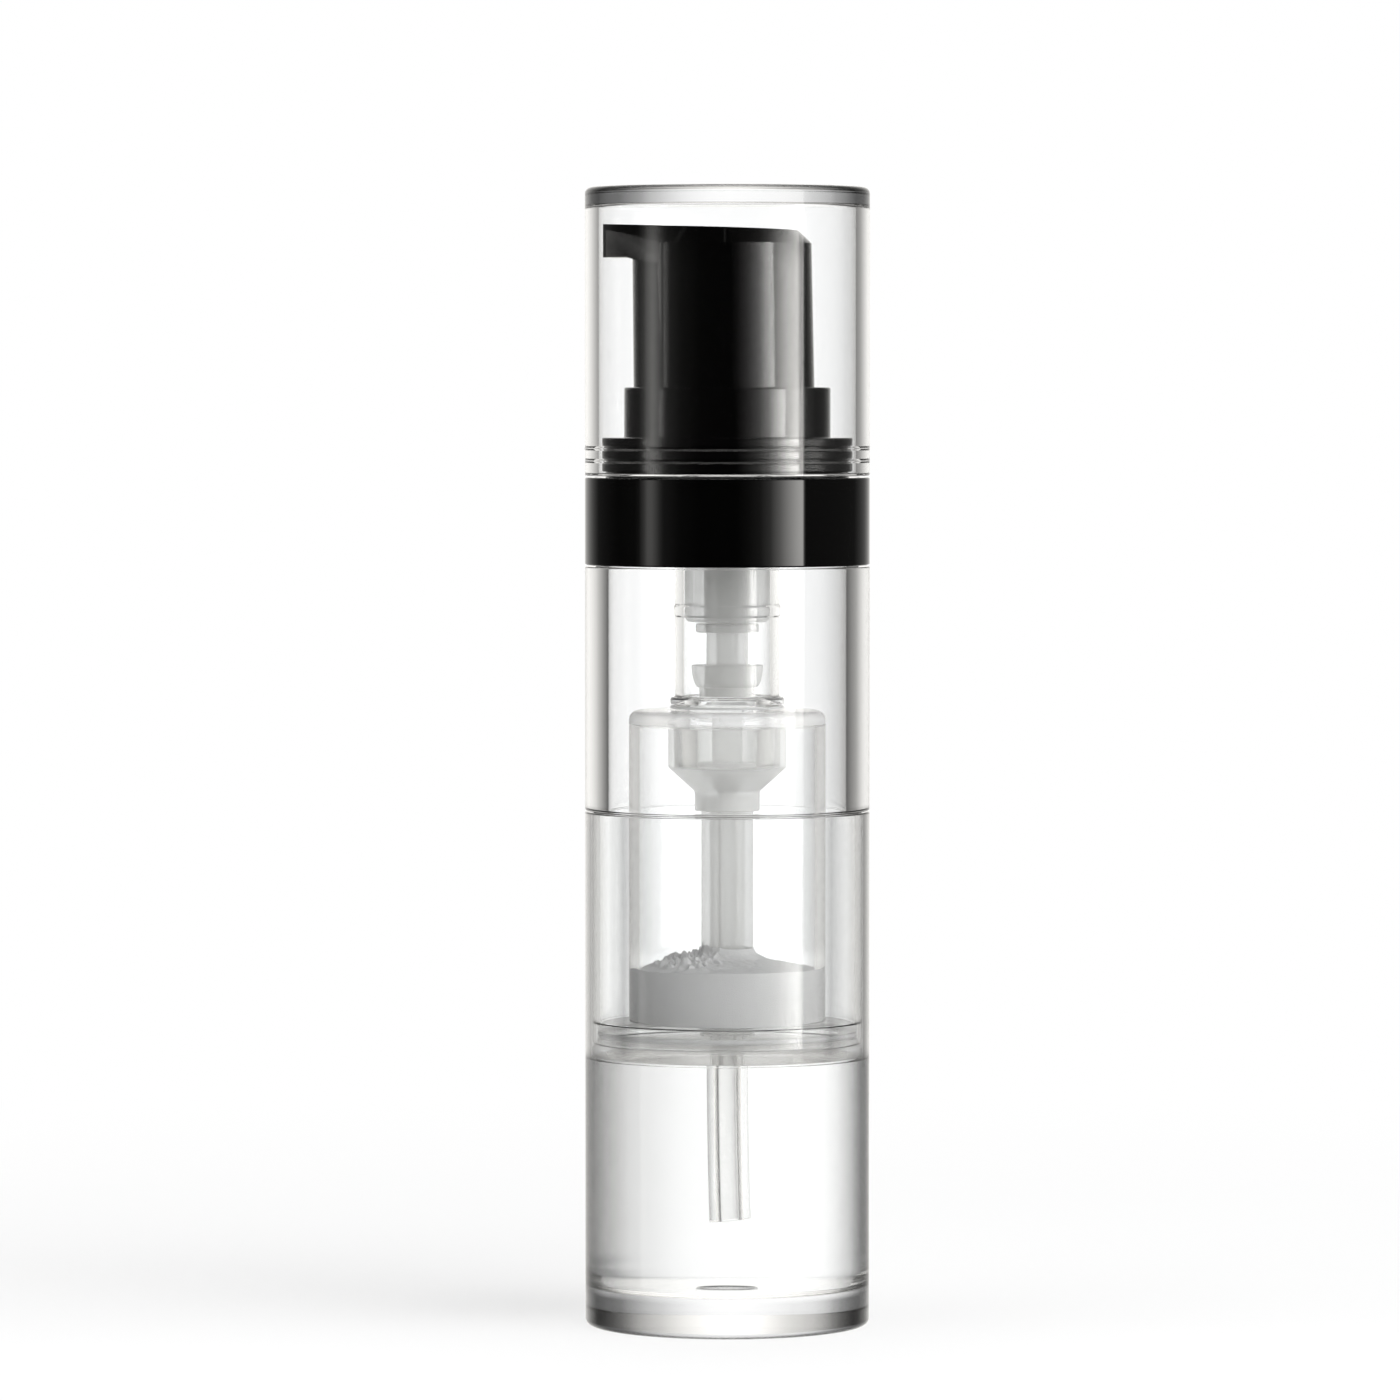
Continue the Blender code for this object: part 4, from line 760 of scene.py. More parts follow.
class PUMPBOTTLE_OT_closure(bpy.types.Operator):
    """The black collar with its rings and tube, and the black band below it"""

    bl_idname = "pump_bottle.closure"
    bl_label = "Collar and Band"

    def execute(self, context):
        sizes = context.scene.bottle_shells
        seat_top = high("band")
        seat = seat_top - 1.0 * MM
        outer = reach("collar")
        ring = 14.5 * MM
        groove = ring - 0.45 * MM
        tube = ring - 2.55 * MM
        tube_bore = tube - 0.9 * MM
        skirt = reach("upper_bottle") - sizes.sleeve_wall - 0.15 * MM
        skirt_bore = skirt - 1.2 * MM
        top = high("collar")
        rings_top = top - 5.8 * MM
        edge = 0.12 * MM
        bead = seat - 3.3 * MM
        corners = [
            (tube_bore, top, 0.2 * MM),
            (tube, top, 0.25 * MM),
            (tube, rings_top, 0.15 * MM),
        ]
        height = rings_top
        for index in range(3):
            corners.append((ring, height, 0.14 * MM))
            height -= 1.0 * MM
            corners.append((ring, height, 0.14 * MM))
            corners.append((groove, height, 0.08 * MM))
            height -= 0.7 * MM if index == 2 else 0.45 * MM
            corners.append((groove, height, 0.08 * MM))
        corners += [
            (outer, seat_top, edge),
            (outer, seat, edge),
            (skirt, seat, 0.05 * MM),
            (skirt, low("collar"), edge),
            (skirt_bore, low("collar"), edge),
            (skirt_bore, bead, 0.05 * MM),
            (skirt_bore - 0.45 * MM, bead + 0.35 * MM, 0.1 * MM),
            (skirt_bore, bead + 0.7 * MM, 0.05 * MM),
            (skirt_bore, seat, 0.1 * MM),
            (5.3 * MM, seat, 0.1 * MM),
            (5.3 * MM, seat + 1.4 * MM, 0.1 * MM),
            (tube_bore, seat + 1.4 * MM, 0.2 * MM),
        ]
        collar = turn(corners, sizes.steps, segments=5)
        to_piece("collar_ring", collar, [black_plastic()], "upper", "black_plastic", "collar")
        band_low = low("band")
        inner = outer + 0.15 * MM
        band = turn(
            [
                (inner, seat_top, 0.05 * MM),
                (reach("band"), seat_top, 0.18 * MM),
                (reach("band"), band_low, 0.18 * MM),
                (inner, band_low, 0.05 * MM),
            ],
            sizes.steps,
        )
        to_piece("band_sleeve", band, [black_plastic()], "upper", "black_plastic", "band")
        return {"FINISHED"}


def slab(outline_points, low_z, high_z):
    """An upright block on a flat outline."""
    bm = bmesh.new()
    face = bm.faces.new([bm.verts.new((x, y, low_z)) for x, y in outline_points])
    grown = bmesh.ops.extrude_face_region(bm, geom=[face])
    bmesh.ops.translate(
        bm, verts=[v for v in grown["geom"] if isinstance(v, bmesh.types.BMVert)], vec=(0.0, 0.0, high_z - low_z)
    )
    bmesh.ops.recalc_face_normals(bm, faces=bm.faces)
    return bm


def loose(name, bm):
    """A mesh as an object for a Boolean."""
    mesh = bpy.data.meshes.new(name)
    bm.to_mesh(mesh)
    bm.free()
    obj = bpy.data.objects.new(name, mesh)
    bpy.context.scene.collection.objects.link(obj)
    return obj


def joined(target, other, operation):
    """The Boolean of two objects as a mesh. Both objects are removed."""
    step = target.modifiers.new("Cut", "BOOLEAN")
    step.operation = operation
    step.solver = "EXACT"
    step.object = other
    bpy.context.view_layer.update()
    mesh = bpy.data.meshes.new_from_object(target.evaluated_get(bpy.context.evaluated_depsgraph_get()))
    bm = bmesh.new()
    bm.from_mesh(mesh)
    for used in (target, other):
        bpy.data.objects.remove(used, do_unlink=True)
    bpy.data.meshes.remove(mesh)
    return bm


class PUMPBOTTLE_OT_actuator(bpy.types.Operator):
    """The black press head: round skirt, sloping top, and the spout with its outlet underneath"""

    bl_idname = "pump_bottle.actuator"
    bl_label = "Press Head"

    def execute(self, context):
        steps = 128
        bottom = low("actuator")
        spout = -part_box("actuator")[0].x
        radius = reach("actuator")
        top_radius = radius - 0.35 * MM
        chamfer = 1.5 * MM
        slope = 0.031
        back = bottom + 20.1 * MM
        tip_top = back + (top_radius - chamfer + spout) * slope
        spare = spout * slope
        body = turn(
            [
                (0.0, back + spare),
                (top_radius - chamfer - spare, back + spare),
                (top_radius, back - chamfer),
                (radius, bottom + 1.4 * MM),
                (radius, bottom),
                (0.0, bottom),
            ],
            steps,
            closed=False,
        )
        for vert in body.verts:
            rise = max(0.0, (vert.co.z - bottom) / (back - bottom))
            vert.co.x -= 0.3 * MM * min(rise * 14, 1.0)
            if vert.co.x < 0.0:
                vert.co.x -= (0.1 * min(rise * 14, 1.0) + 0.56 * rise) * MM * (vert.co.x / top_radius) ** 2
        tip_low = tip_top - 3.85 * MM
        root = tip_low - 0.7 * MM
        tip_half = 2.8 * MM
        hug = top_radius + 0.2 * MM
        corner = Vector((-math.sqrt(spout**2 - tip_half**2), tip_half))
        touch = math.atan2(tip_half, -corner.x) + math.acos(hug / corner.length)
        root_x = -hug * math.cos(touch)
        root_half = hug * math.sin(touch)
        plan = [(root_x, -root_half), (0.0, -root_half + MM), (0.0, root_half - MM), (root_x, root_half)]
        for step in range(9):
            y = tip_half * (1 - 2 * step / 8)
            plan.append((-math.sqrt(spout**2 - y**2), y))
        beak = slab(plan, root - 4 * MM, tip_top + 4 * MM)
        corner_edges = [
            edge for edge in beak.edges
            if abs(edge.verts[0].co.z - edge.verts[1].co.z) > MM
            and abs(abs(edge.verts[0].co.y) - tip_half) < 0.01 * MM
        ]
        bmesh.ops.bevel(
            beak, geom=corner_edges, offset=0.45 * MM, offset_type="OFFSET", segments=3, profile=0.5,
            affect="EDGES", material=-1,
        )
        for sign in (-1, 1):
            low_end = Vector((root_x, sign * root_half, back - chamfer))
            high_end = Vector((corner.x, sign * tip_half, tip_top - 0.6 * MM))
            inward = Vector((math.cos(touch), -sign * math.sin(touch), 1.0))
            tilt = (high_end - low_end).cross(inward) * sign
            cut = bmesh.ops.bisect_plane(
                beak, geom=beak.verts[:] + beak.edges[:] + beak.faces[:],
                plane_co=low_end, plane_no=tilt if tilt.z > 0 else -tilt, clear_outer=True, dist=0.001 * MM,
            )
            rim = [item for item in cut["geom_cut"] if isinstance(item, bmesh.types.BMEdge)]
            bmesh.ops.contextual_create(beak, geom=rim)
        side = [
            (2 * MM, tip_top + 2 * MM),
            (-spout - 2 * MM, tip_top + 2 * MM),
            (-spout - 2 * MM, tip_low),
            (-spout + 3.0 * MM, tip_low),
            (-spout + 5.2 * MM, root),
            (2 * MM, root),
        ]
        profile = slab(side, -15 * MM, 15 * MM)
        bmesh.ops.rotate(profile, verts=profile.verts, cent=(0, 0, 0), matrix=Matrix.Rotation(math.pi / 2, 3, "X"))
        beak = joined(loose("beak", beak), loose("beak_side", profile), "INTERSECT")
        head = joined(loose("head", body), loose("beak_block", beak), "UNION")
        cut = bmesh.ops.bisect_plane(
            head,
            geom=head.verts[:] + head.edges[:] + head.faces[:],
            plane_co=(-spout, 0.0, tip_top),
            plane_no=(slope, 0.0, 1.0),
            clear_outer=True,
            dist=0.001 * MM,
        )
        rim = [item for item in cut["geom_cut"] if isinstance(item, bmesh.types.BMEdge)]
        bmesh.ops.contextual_create(head, geom=rim)
        bmesh.ops.remove_doubles(head, verts=head.verts, dist=WELD)
        bmesh.ops.recalc_face_normals(head, faces=head.faces)
        sharp = []
        for edge in head.edges:
            if len(edge.link_faces) != 2 or edge.calc_face_angle() < math.radians(28):
                continue
            if not edge.is_convex:
                continue
            middle = (edge.verts[0].co + edge.verts[1].co) / 2
            if middle.z > root - 0.5 * MM:
                sharp.append(edge)
        bmesh.ops.bevel(
            head, geom=sharp, offset=0.22 * MM, offset_type="OFFSET", segments=3, profile=0.5,
            affect="EDGES", material=-1, clamp_overlap=True,
        )
        hollow = turn(
            [
                (0.0, bottom + 5.6 * MM),
                (4.4 * MM, bottom + 5.6 * MM, 0.2 * MM),
                (4.4 * MM, bottom + 14.8 * MM, 0.3 * MM),
                (top_radius - 0.95 * MM, bottom + 14.8 * MM, 0.3 * MM),
                (top_radius - 0.95 * MM, bottom - MM),
                (0.0, bottom - MM),
            ],
            steps,
            closed=False,
        )
        head = joined(loose("head_solid", head), loose("head_hollow", hollow), "DIFFERENCE")
        socket = turn([(0.0, bottom + 10.5 * MM), (2.58 * MM, bottom + 10.5 * MM, 0.1 * MM),
                       (2.58 * MM, bottom - MM), (0.0, bottom - MM)], 48, closed=False)
        head = joined(loose("head_socketless", head), loose("head_socket", socket), "DIFFERENCE")
        channel = tip_top - 2.1 * MM
        outlet_x = -spout + 2.0 * MM
        outlet = turn([(0.0, channel), (MM, channel, 0.2 * MM), (MM, tip_low - MM), (0.0, tip_low - MM)], 40, closed=False)
        bmesh.ops.translate(outlet, verts=outlet.verts, vec=(outlet_x, 0.0, 0.0))
        head = joined(loose("head_blind", head), loose("head_outlet", outlet), "DIFFERENCE")
        bmesh.ops.remove_doubles(head, verts=head.verts, dist=WELD)
        to_piece("press_head", head, [black_plastic()], "head", "black_plastic", "actuator")
        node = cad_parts["return_spring"]
        coil = bmesh.new()
        coil.from_mesh(node.data)
        coil.transform(node.matrix_world)
        bmesh.ops.remove_doubles(coil, verts=coil.verts, dist=WELD)
        ends = (0.0, 0.0, low("return_spring")), (0.0, 0.0, high("return_spring"))
        to_piece("coil_spring", coil, [spring_steel()], ("upper", "plunger", *ends), "spring_steel", "return_spring")
        return {"FINISHED"}


class PUMPBOTTLE_OT_powder_chamber(bpy.types.Operator):
    """The clear powder chamber and the powder heaped in it"""

    bl_idname = "pump_bottle.powder_chamber"
    bl_label = "Powder Chamber"

    def execute(self, context):
        sizes = context.scene.bottle_shells
        radius = reach("chamber_dome")
        bottom = low("chamber_dome")
        top = high("chamber_dome")
        bore = radius - sizes.dome_wall
        plate = top - 1.6 * MM
        hole = 6.2 * MM
        dome = turn(
            [
                (hole, top, 0.1 * MM),
                (radius, top, 1.1 * MM),
                (radius, bottom, 0.15 * MM),
                (bore, bottom, 0.1 * MM),
                (bore, plate, 0.4 * MM),
                (hole, plate, 0.1 * MM),
            ],
            sizes.steps,
        )
        paint(dome, lambda r, z, out: out > 0.3, 1)
        to_piece("powder_dome", dome, [dome_core(), dome_skin_haze_and_painted_shade()], "upper", "clear_plastic", "chamber_dome")

        inner = reach("tube_sheath") + 0.02 * MM
        outer = bore + 0.04 * MM
        edge_top = bottom + 6.2 * MM
        heap = outline(
            [
                (inner, edge_top + 2.3 * MM),
                (inner + 0.4 * MM, edge_top + 1.6 * MM),
                (inner + 1.4 * MM, edge_top + 1.05 * MM),
                (inner + 4.0 * MM, edge_top + 0.5 * MM),
                (outer, edge_top),
                (outer, bottom + 0.05 * MM),
                (inner, bottom + 0.05 * MM),
            ],
            True,
        )
        long_edges = [e for e in heap.edges if min(v.co.z for v in e.verts) > edge_top - 0.1 * MM]
        for edge in long_edges:
            bmesh.ops.subdivide_edges(heap, edges=[edge], cuts=max(1, int(edge.calc_length() / (0.11 * MM))))
        bmesh.ops.spin(
            heap, geom=heap.verts[:] + heap.edges[:], axis=(0.0, 0.0, 1.0), angle=math.tau, steps=256, use_merge=True
        )
        bmesh.ops.remove_doubles(heap, verts=heap.verts, dist=WELD)
        bmesh.ops.recalc_face_normals(heap, faces=heap.faces)
        lumps = context.scene.bottle_finishes.lumps
        for vert in heap.verts:
            if vert.co.z < edge_top - 0.1 * MM:
                continue
            radius_here = math.hypot(vert.co.x, vert.co.y)
            left = min(1.0, max(0.0, -vert.co.x / (0.5 * outer)))
            rim = min(1.0, (outer - radius_here) / MM)
            lift = noise.noise(vert.co / (1.6 * MM)) * 0.6 + noise.noise(vert.co / (0.5 * MM)) * 0.25
            place = vert.co / (0.8 * MM) + Vector((7.0, 3.0, 1.0))
            crumb = max(0.0, noise.noise(place)) + max(0.0, noise.noise(place * 2.1)) * 0.5
            near = min(1.0, max(0.0, (outer - 1.2 * MM - radius_here) / MM))
            vert.co.z += lumps * (lift * (0.3 + 0.5 * left) + crumb * (0.2 * rim + 2.6 * left * near))
        to_piece("powder_heap", heap, [powder_white()], "upper", "powder", "powder_charge")
        return {"FINISHED"}


class PUMPBOTTLE_OT_pump(bpy.types.Operator):
    """The pump: clear housing, stem guide, stem, stem seal, cupped piston and gaskets"""

    bl_idname = "pump_bottle.pump"
    bl_label = "Pump"

    def execute(self, context):
        sizes = context.scene.bottle_shells
        radius = 6.05 * MM
        bore = radius - sizes.housing_wall
        top = high("pump_housing")
        bottom = low("pump_housing")
        flange = reach("pump_housing")
        waist = high("dome_gasket") + 0.2 * MM
        floor = waist + 0.5 * MM
        passage = floor - 3.1 * MM
        housing = turn(
            [
                (bore, top, 0.1 * MM),
                (flange, top, 0.1 * MM),
                (flange, top - 1.2 * MM, 0.1 * MM),
                (radius, top - 1.2 * MM, 0.3 * MM),
                (radius, top - 12.5 * MM, 0.1 * MM),
                (radius + 0.15 * MM, top - 12.7 * MM, 0.15 * MM),
                (radius + 0.15 * MM, top - 13.7 * MM, 0.15 * MM),
                (radius, top - 13.9 * MM, 0.1 * MM),
                (radius, waist + 0.8 * MM, 0.25 * MM),
                (6.6 * MM, waist + 0.8 * MM, 0.3 * MM),
                (6.6 * MM, waist, 0.1 * MM),
                (radius, waist, 0.05 * MM),
                (radius, bottom, 0.2 * MM),
                (3.5 * MM, bottom, 0.1 * MM),
                (3.5 * MM, passage, 0.1 * MM),
                (4.4 * MM, passage, 0.15 * MM),
                (4.4 * MM, floor, 0.15 * MM),
                (bore, floor, 0.3 * MM),
            ],
            96,
        )
        paint(housing, lambda r, z, out: out > 0.3, 1)
        paint(housing, lambda r, z, out: r > radius + 0.05 * MM and z < waist + MM, 2)
        to_piece("housing_tube", housing, [clear_core(), clear_skin(), waist_clear()], "upper", "clear_plastic", "pump_housing")

        stem = 2.43 * MM
        slide = stem + 0.25 * MM
        shank = bore - 0.15 * MM
        guide_low = low("stem_guide")
        guide = turn(
            [
                (slide, high("stem_guide"), 0.15 * MM),
                (4.9 * MM, high("stem_guide"), 0.2 * MM),
                (4.9 * MM, top + 0.9 * MM, 0.1 * MM),
                (6.2 * MM, top + 0.9 * MM, 0.1 * MM),
                (6.2 * MM, top + 0.2 * MM, 0.1 * MM),
                (shank, top + 0.2 * MM, 0.1 * MM),
                (shank, guide_low, 0.75 * MM),
                (slide, guide_low, 0.1 * MM),
            ],
            80,
        )
        to_piece("guide_bush", guide, [milky_plastic()], "upper", "milky_plastic", "stem_guide")

        seal = turn(
            [
                (slide, high("stem_seal"), 0.1 * MM),
                (reach("stem_seal"), high("stem_seal"), 0.15 * MM),
                (reach("stem_seal"), low("stem_seal"), 0.2 * MM),
                (slide, low("stem_seal"), 0.1 * MM),
            ],
            64,
        )
        to_piece("stem_seal_ring", seal, [milky_plastic()], "upper", "milky_plastic", "stem_seal")

        lip = reach("piston")
        cup_top = high("piston")
        skirt = slide + 0.55 * MM
        corners = [(slide, cup_top - 0.3 * MM), (lip - 0.25 * MM, cup_top - 0.02 * MM), (lip, cup_top)]
        for step in range(1, 13):
            angle = math.pi / 2 * step / 12
            corners.append(
                (skirt + (lip - skirt) * math.cos(angle), cup_top - 2.6 * MM * math.sin(angle))
            )
        corners += [(skirt, low("piston"), 0.15 * MM), (slide, low("piston"))]
        to_piece("piston_cup", turn(corners, 80), [milky_plastic()], "plunger", "milky_plastic", "piston")

        post = 1.75 * MM
        recess = high("valve_cage") + 5.0 * MM
        rod = turn(
            [
                (1.25 * MM, high("stem"), 0.1 * MM),
                (stem, high("stem"), 0.15 * MM),
                (stem, low("stem"), 0.15 * MM),
                (post + 0.25 * MM, low("stem"), 0.1 * MM),
                (post + 0.25 * MM, recess, 0.2 * MM),
                (1.25 * MM, recess, 0.1 * MM),
            ],
            64,
        )
        to_piece("stem_tube", rod, [milky_plastic()], "head", "milky_plastic", "stem")

        washer = turn(
            [
                (6.2 * MM, high("dome_gasket"), 0.05 * MM),
                (reach("dome_gasket"), high("dome_gasket"), 0.1 * MM),
                (reach("dome_gasket"), low("dome_gasket"), 0.1 * MM),
                (6.2 * MM, low("dome_gasket"), 0.05 * MM),
            ],
            96,
        )
        to_piece("dome_washer", washer, [seal_rubber()], "upper", "seal_rubber", "dome_gasket")
        dress("housing_gasket", seal_rubber())
        return {"FINISHED"}


class PUMPBOTTLE_OT_valve(bpy.types.Operator):
    """The translucent valve body under the housing, with its ball and the cage over it"""

    bl_idname = "pump_bottle.valve"
    bl_label = "Valve"

    def execute(self, context):
        top = high("valve_body")
        bottom = low("valve_body")
        outer = reach("valve_body")
        socket = outer - 0.66 * MM
        socket_floor = top - 4.9 * MM
        cone_top = top - 4.8 * MM
        cone_low = cone_top - 2.8 * MM
        stop = bottom + 1.5 * MM
        inlet = stop + 0.6 * MM
        pocket = socket_floor - 0.9 * MM
        body = turn(
            [
                (socket, top, 0.08 * MM),
                (outer, top, 0.15 * MM),
                (outer, cone_top, 0.5 * MM),
                (3.75 * MM, cone_low, 0.5 * MM),
                (3.75 * MM, bottom, 0.15 * MM),
                (3.15 * MM, bottom, 0.1 * MM),
                (3.15 * MM, stop, 0.1 * MM),
                (1.1 * MM, stop, 0.1 * MM),
                (1.1 * MM, inlet, 0.05 * MM),
                (1.75 * MM, inlet + 0.65 * MM, 0.1 * MM),
                (1.75 * MM, pocket, 0.1 * MM),
                (3.0 * MM, pocket, 0.2 * MM),
                (3.0 * MM, socket_floor, 0.1 * MM),
                (socket, socket_floor, 0.2 * MM),
            ],
            96,
        )
        to_piece("valve_funnel", body, [valve_plastic()], "upper", "milky_plastic", "valve_body")

        cage_top = low("valve_cage") + 0.5 * MM
        cage = turn(
            [
                (0.0, high("valve_cage")),
                (1.75 * MM, high("valve_cage"), 0.3 * MM),
                (1.75 * MM, cage_top, 0.15 * MM),
                (3.35 * MM, cage_top, 0.1 * MM),
                (3.35 * MM, low("valve_cage"), 0.1 * MM),
                (0.0, low("valve_cage")),
            ],
            64,
            closed=False,
        )
        to_piece("cage_post", cage, [milky_plastic()], "upper", "milky_plastic", "valve_cage")

        ball_low, ball_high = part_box("inlet_ball")
        ball = bmesh.new()
        bmesh.ops.create_uvsphere(ball, u_segments=48, v_segments=24, radius=(ball_high.z - ball_low.z) / 2)
        bmesh.ops.translate(ball, verts=ball.verts, vec=(ball_low + ball_high) / 2)
        to_piece("valve_ball", ball, [spring_steel()], "ball", "spring_steel", "inlet_ball")
        return {"FINISHED"}


class PUMPBOTTLE_OT_dip_tube(bpy.types.Operator):
    """The dip tube with its slanted end, and the sheath that carries it through the powder"""

    bl_idname = "pump_bottle.dip_tube"
    bl_label = "Dip Tube"

    def execute(self, context):
        top = high("dip_tube")
        bottom = low("dip_tube")
        sleeve_top = high("tube_sheath")
        sleeve_low = low("tube_sheath")
        sheath = turn(
            [
                (2.05 * MM, sleeve_top, 0.1 * MM),
                (3.0 * MM, sleeve_top, 0.35 * MM),
                (3.0 * MM, sleeve_low, 0.15 * MM),
                (2.05 * MM, sleeve_low, 0.1 * MM),
            ],
            64,
        )
        to_piece("sheath_sleeve", sheath, [sheath_plastic()], "upper", "milky_plastic", "tube_sheath")

        bend = low("seal_disc")
        tube = outline([(1.05 * MM, top), (1.8 * MM, top), (1.8 * MM, bottom), (1.05 * MM, bottom)], True)
        upright = [e for e in tube.edges if abs(e.verts[0].co.z - e.verts[1].co.z) > MM]
        bmesh.ops.subdivide_edges(tube, edges=upright, cuts=40)
        bmesh.ops.spin(
            tube, geom=tube.verts[:] + tube.edges[:], axis=(0.0, 0.0, 1.0), angle=math.tau, steps=64, use_merge=True
        )
        bmesh.ops.remove_doubles(tube, verts=tube.verts, dist=WELD)
        bmesh.ops.recalc_face_normals(tube, faces=tube.faces)
        slant = 0.35 * MM / (1.8 * MM)
        paint(tube, lambda r, z, out: r < 1.4 * MM and out < -0.5, 1)
        for vert in tube.verts:
            share = max(0.0, (bend - vert.co.z) / (bend - bottom))
            if share > 0.99:
                vert.co.z += (1.8 * MM + vert.co.x) * slant * 0.6
            vert.co.x += 0.25 * MM * share**2
        to_piece("dip_tube_straw", tube, [tube_plastic(), tube_bore()], "upper", "tube_plastic", "dip_tube")
        return {"FINISHED"}


class PUMPBOTTLE_OT_chamber_floor(bpy.types.Operator):
    """The chamber plug, its seal ring, and the seal disc that closes the powder chamber"""

    bl_idname = "pump_bottle.chamber_floor"
    bl_label = "Chamber Floor"

    def execute(self, context):
        steps = context.scene.bottle_shells.steps
        top = high("chamber_plug")
        bottom = low("chamber_plug")
        outer = reach("chamber_plug")
        groove_low = bottom + 0.7 * MM
        plug = turn(
            [
                (3.15 * MM, top, 0.1 * MM),
                (outer, top, 0.12 * MM),
                (outer, groove_low + 0.9 * MM, 0.08 * MM),
                (outer - 0.75 * MM, groove_low + 0.9 * MM, 0.08 * MM),
                (outer - 0.75 * MM, groove_low, 0.08 * MM),
                (outer, groove_low, 0.08 * MM),
                (outer, bottom, 0.12 * MM),
                (2.05 * MM, bottom, 0.1 * MM),
                (2.05 * MM, top - 1.5 * MM, 0.05 * MM),
                (3.15 * MM, top - 1.5 * MM, 0.05 * MM),
            ],
            steps,
        )
        to_piece("plug_disc", plug, [plug_milky()], "upper", "clear_plastic", "chamber_plug")

        wire = 0.33 * MM
        middle = (bottom + top) / 2
        ring = bmesh.new()
        bmesh.ops.create_circle(ring, segments=16, radius=wire)
        bmesh.ops.rotate(ring, verts=ring.verts, cent=(0, 0, 0), matrix=Matrix.Rotation(math.pi / 2, 3, "X"))
        bmesh.ops.translate(ring, verts=ring.verts, vec=(outer - wire, 0.0, middle))
        bmesh.ops.spin(
            ring, geom=ring.verts[:] + ring.edges[:], axis=(0.0, 0.0, 1.0), angle=math.tau, steps=steps, use_merge=True
        )
        bmesh.ops.remove_doubles(ring, verts=ring.verts, dist=WELD)
        bmesh.ops.recalc_face_normals(ring, faces=ring.faces)
        to_piece("plug_ring", ring, [seal_rubber()], "upper", "seal_rubber", "plug_seal")

        disc_top = high("seal_disc")
        disc_low = low("seal_disc")
        wide = reach("seal_disc")
        disc = turn(
            [
                (2.05 * MM, disc_top, 0.1 * MM),
                (wide, disc_top, 0.3 * MM),
                (wide, disc_low, 0.5 * MM),
                (2.05 * MM, disc_low, 0.1 * MM),
            ],
            steps,
        )
        to_piece("seal_plate", disc, [disc_plastic()], "upper", "milky_plastic", "seal_disc")
        return {"FINISHED"}


# Stage

# Brightness of the room in reflections by direction: degrees from the camera's side towards +X, level as a share of the softbox
ROOM_LEVELS = [
    (-180.0, 0.15), (-172.0, 0.14), (-164.0, 0.11), (-153.0, 0.085), (-144.0, 0.056), (-137.0, 0.034), (-128.0, 0.01),
    (-98.0, 0.003), (-80.0, 0.006), (-76.0, 0.014), (-71.0, 0.08), (-67.5, 0.18), (-64.0, 0.19), (-60.0, 0.12),
    (-56.5, 0.055), (-53.0, 0.02), (-39.0, 0.005), (-22.0, 0.001), (8.0, 0.001), (18.0, 0.009), (26.6, 0.022),
    (35.0, 0.075), (43.0, 0.26), (50.5, 0.55), (57.8, 0.84), (61.5, 0.95), (64.0, 0.95), (64.8, 0.01), (125.0, 0.008),
    (147.0, 0.04), (168.0, 0.115), (180.0, 0.15),
]
INNER_LEVELS = [
    (-180.0, 0.125), (-164.0, 0.11), (-153.0, 0.07), (-144.0, 0.03), (-130.0, 0.01), (-98.0, 0.008), (-80.5, 0.01),
    (-79.0, 0.15), (-75.0, 0.1), (-71.5, 0.03), (-69.5, 0.008), (-60.0, 0.006), (-48.0, 0.004), (-12.0, 0.001), (8.0, 0.001),
    (16.0, 0.012), (25.0, 0.04), (33.0, 0.1), (42.0, 0.24), (48.0, 0.45), (54.0, 0.78), (59.0, 1.0), (65.5, 1.1),
    (66.5, 0.22), (85.0, 0.25), (98.0, 0.04), (112.0, 0.01), (130.0, 0.01), (144.0, 0.03), (153.0, 0.07), (164.0, 0.11),
    (180.0, 0.125),
]
DEEP_LEVELS = [
    (-180.0, 0.125), (-160.0, 0.12), (-144.0, 0.1), (-128.0, 0.075), (-112.0, 0.05), (-98.0, 0.01), (-90.0, 0.0), (90.0, 0.0),
    (98.0, 0.01), (112.0, 0.05), (128.0, 0.075), (144.0, 0.1), (160.0, 0.12), (180.0, 0.125),
]
# Light on matt surfaces by direction
SIDE_LEVELS = [
    (-180.0, 0.8), (-60.0, 0.85), (0.0, 0.95), (20.0, 1.5), (40.0, 5.5), (60.0, 7.0), (80.0, 5.5), (100.0, 1.5), (120.0, 0.9),
    (180.0, 0.8),
]
# Share of the softbox left by the sine of the height it is seen at
SOFTBOX_FALL = [
    (-1.0, 0.02), (-0.1, 0.03), (-0.077, 0.06), (-0.06, 0.14), (-0.05, 0.3), (-0.025, 1.0), (0.018, 1.0), (0.024, 0.35),
    (0.3, 0.3), (0.6, 0.1), (1.0, 0.1),
]
INNER_FALL = [
    (-1.0, 0.02), (-0.5, 0.05), (-0.25, 0.6), (-0.1, 0.85), (0.0, 1.0), (0.1, 0.85), (0.25, 0.6), (0.5, 0.08), (1.0, 0.2),
]

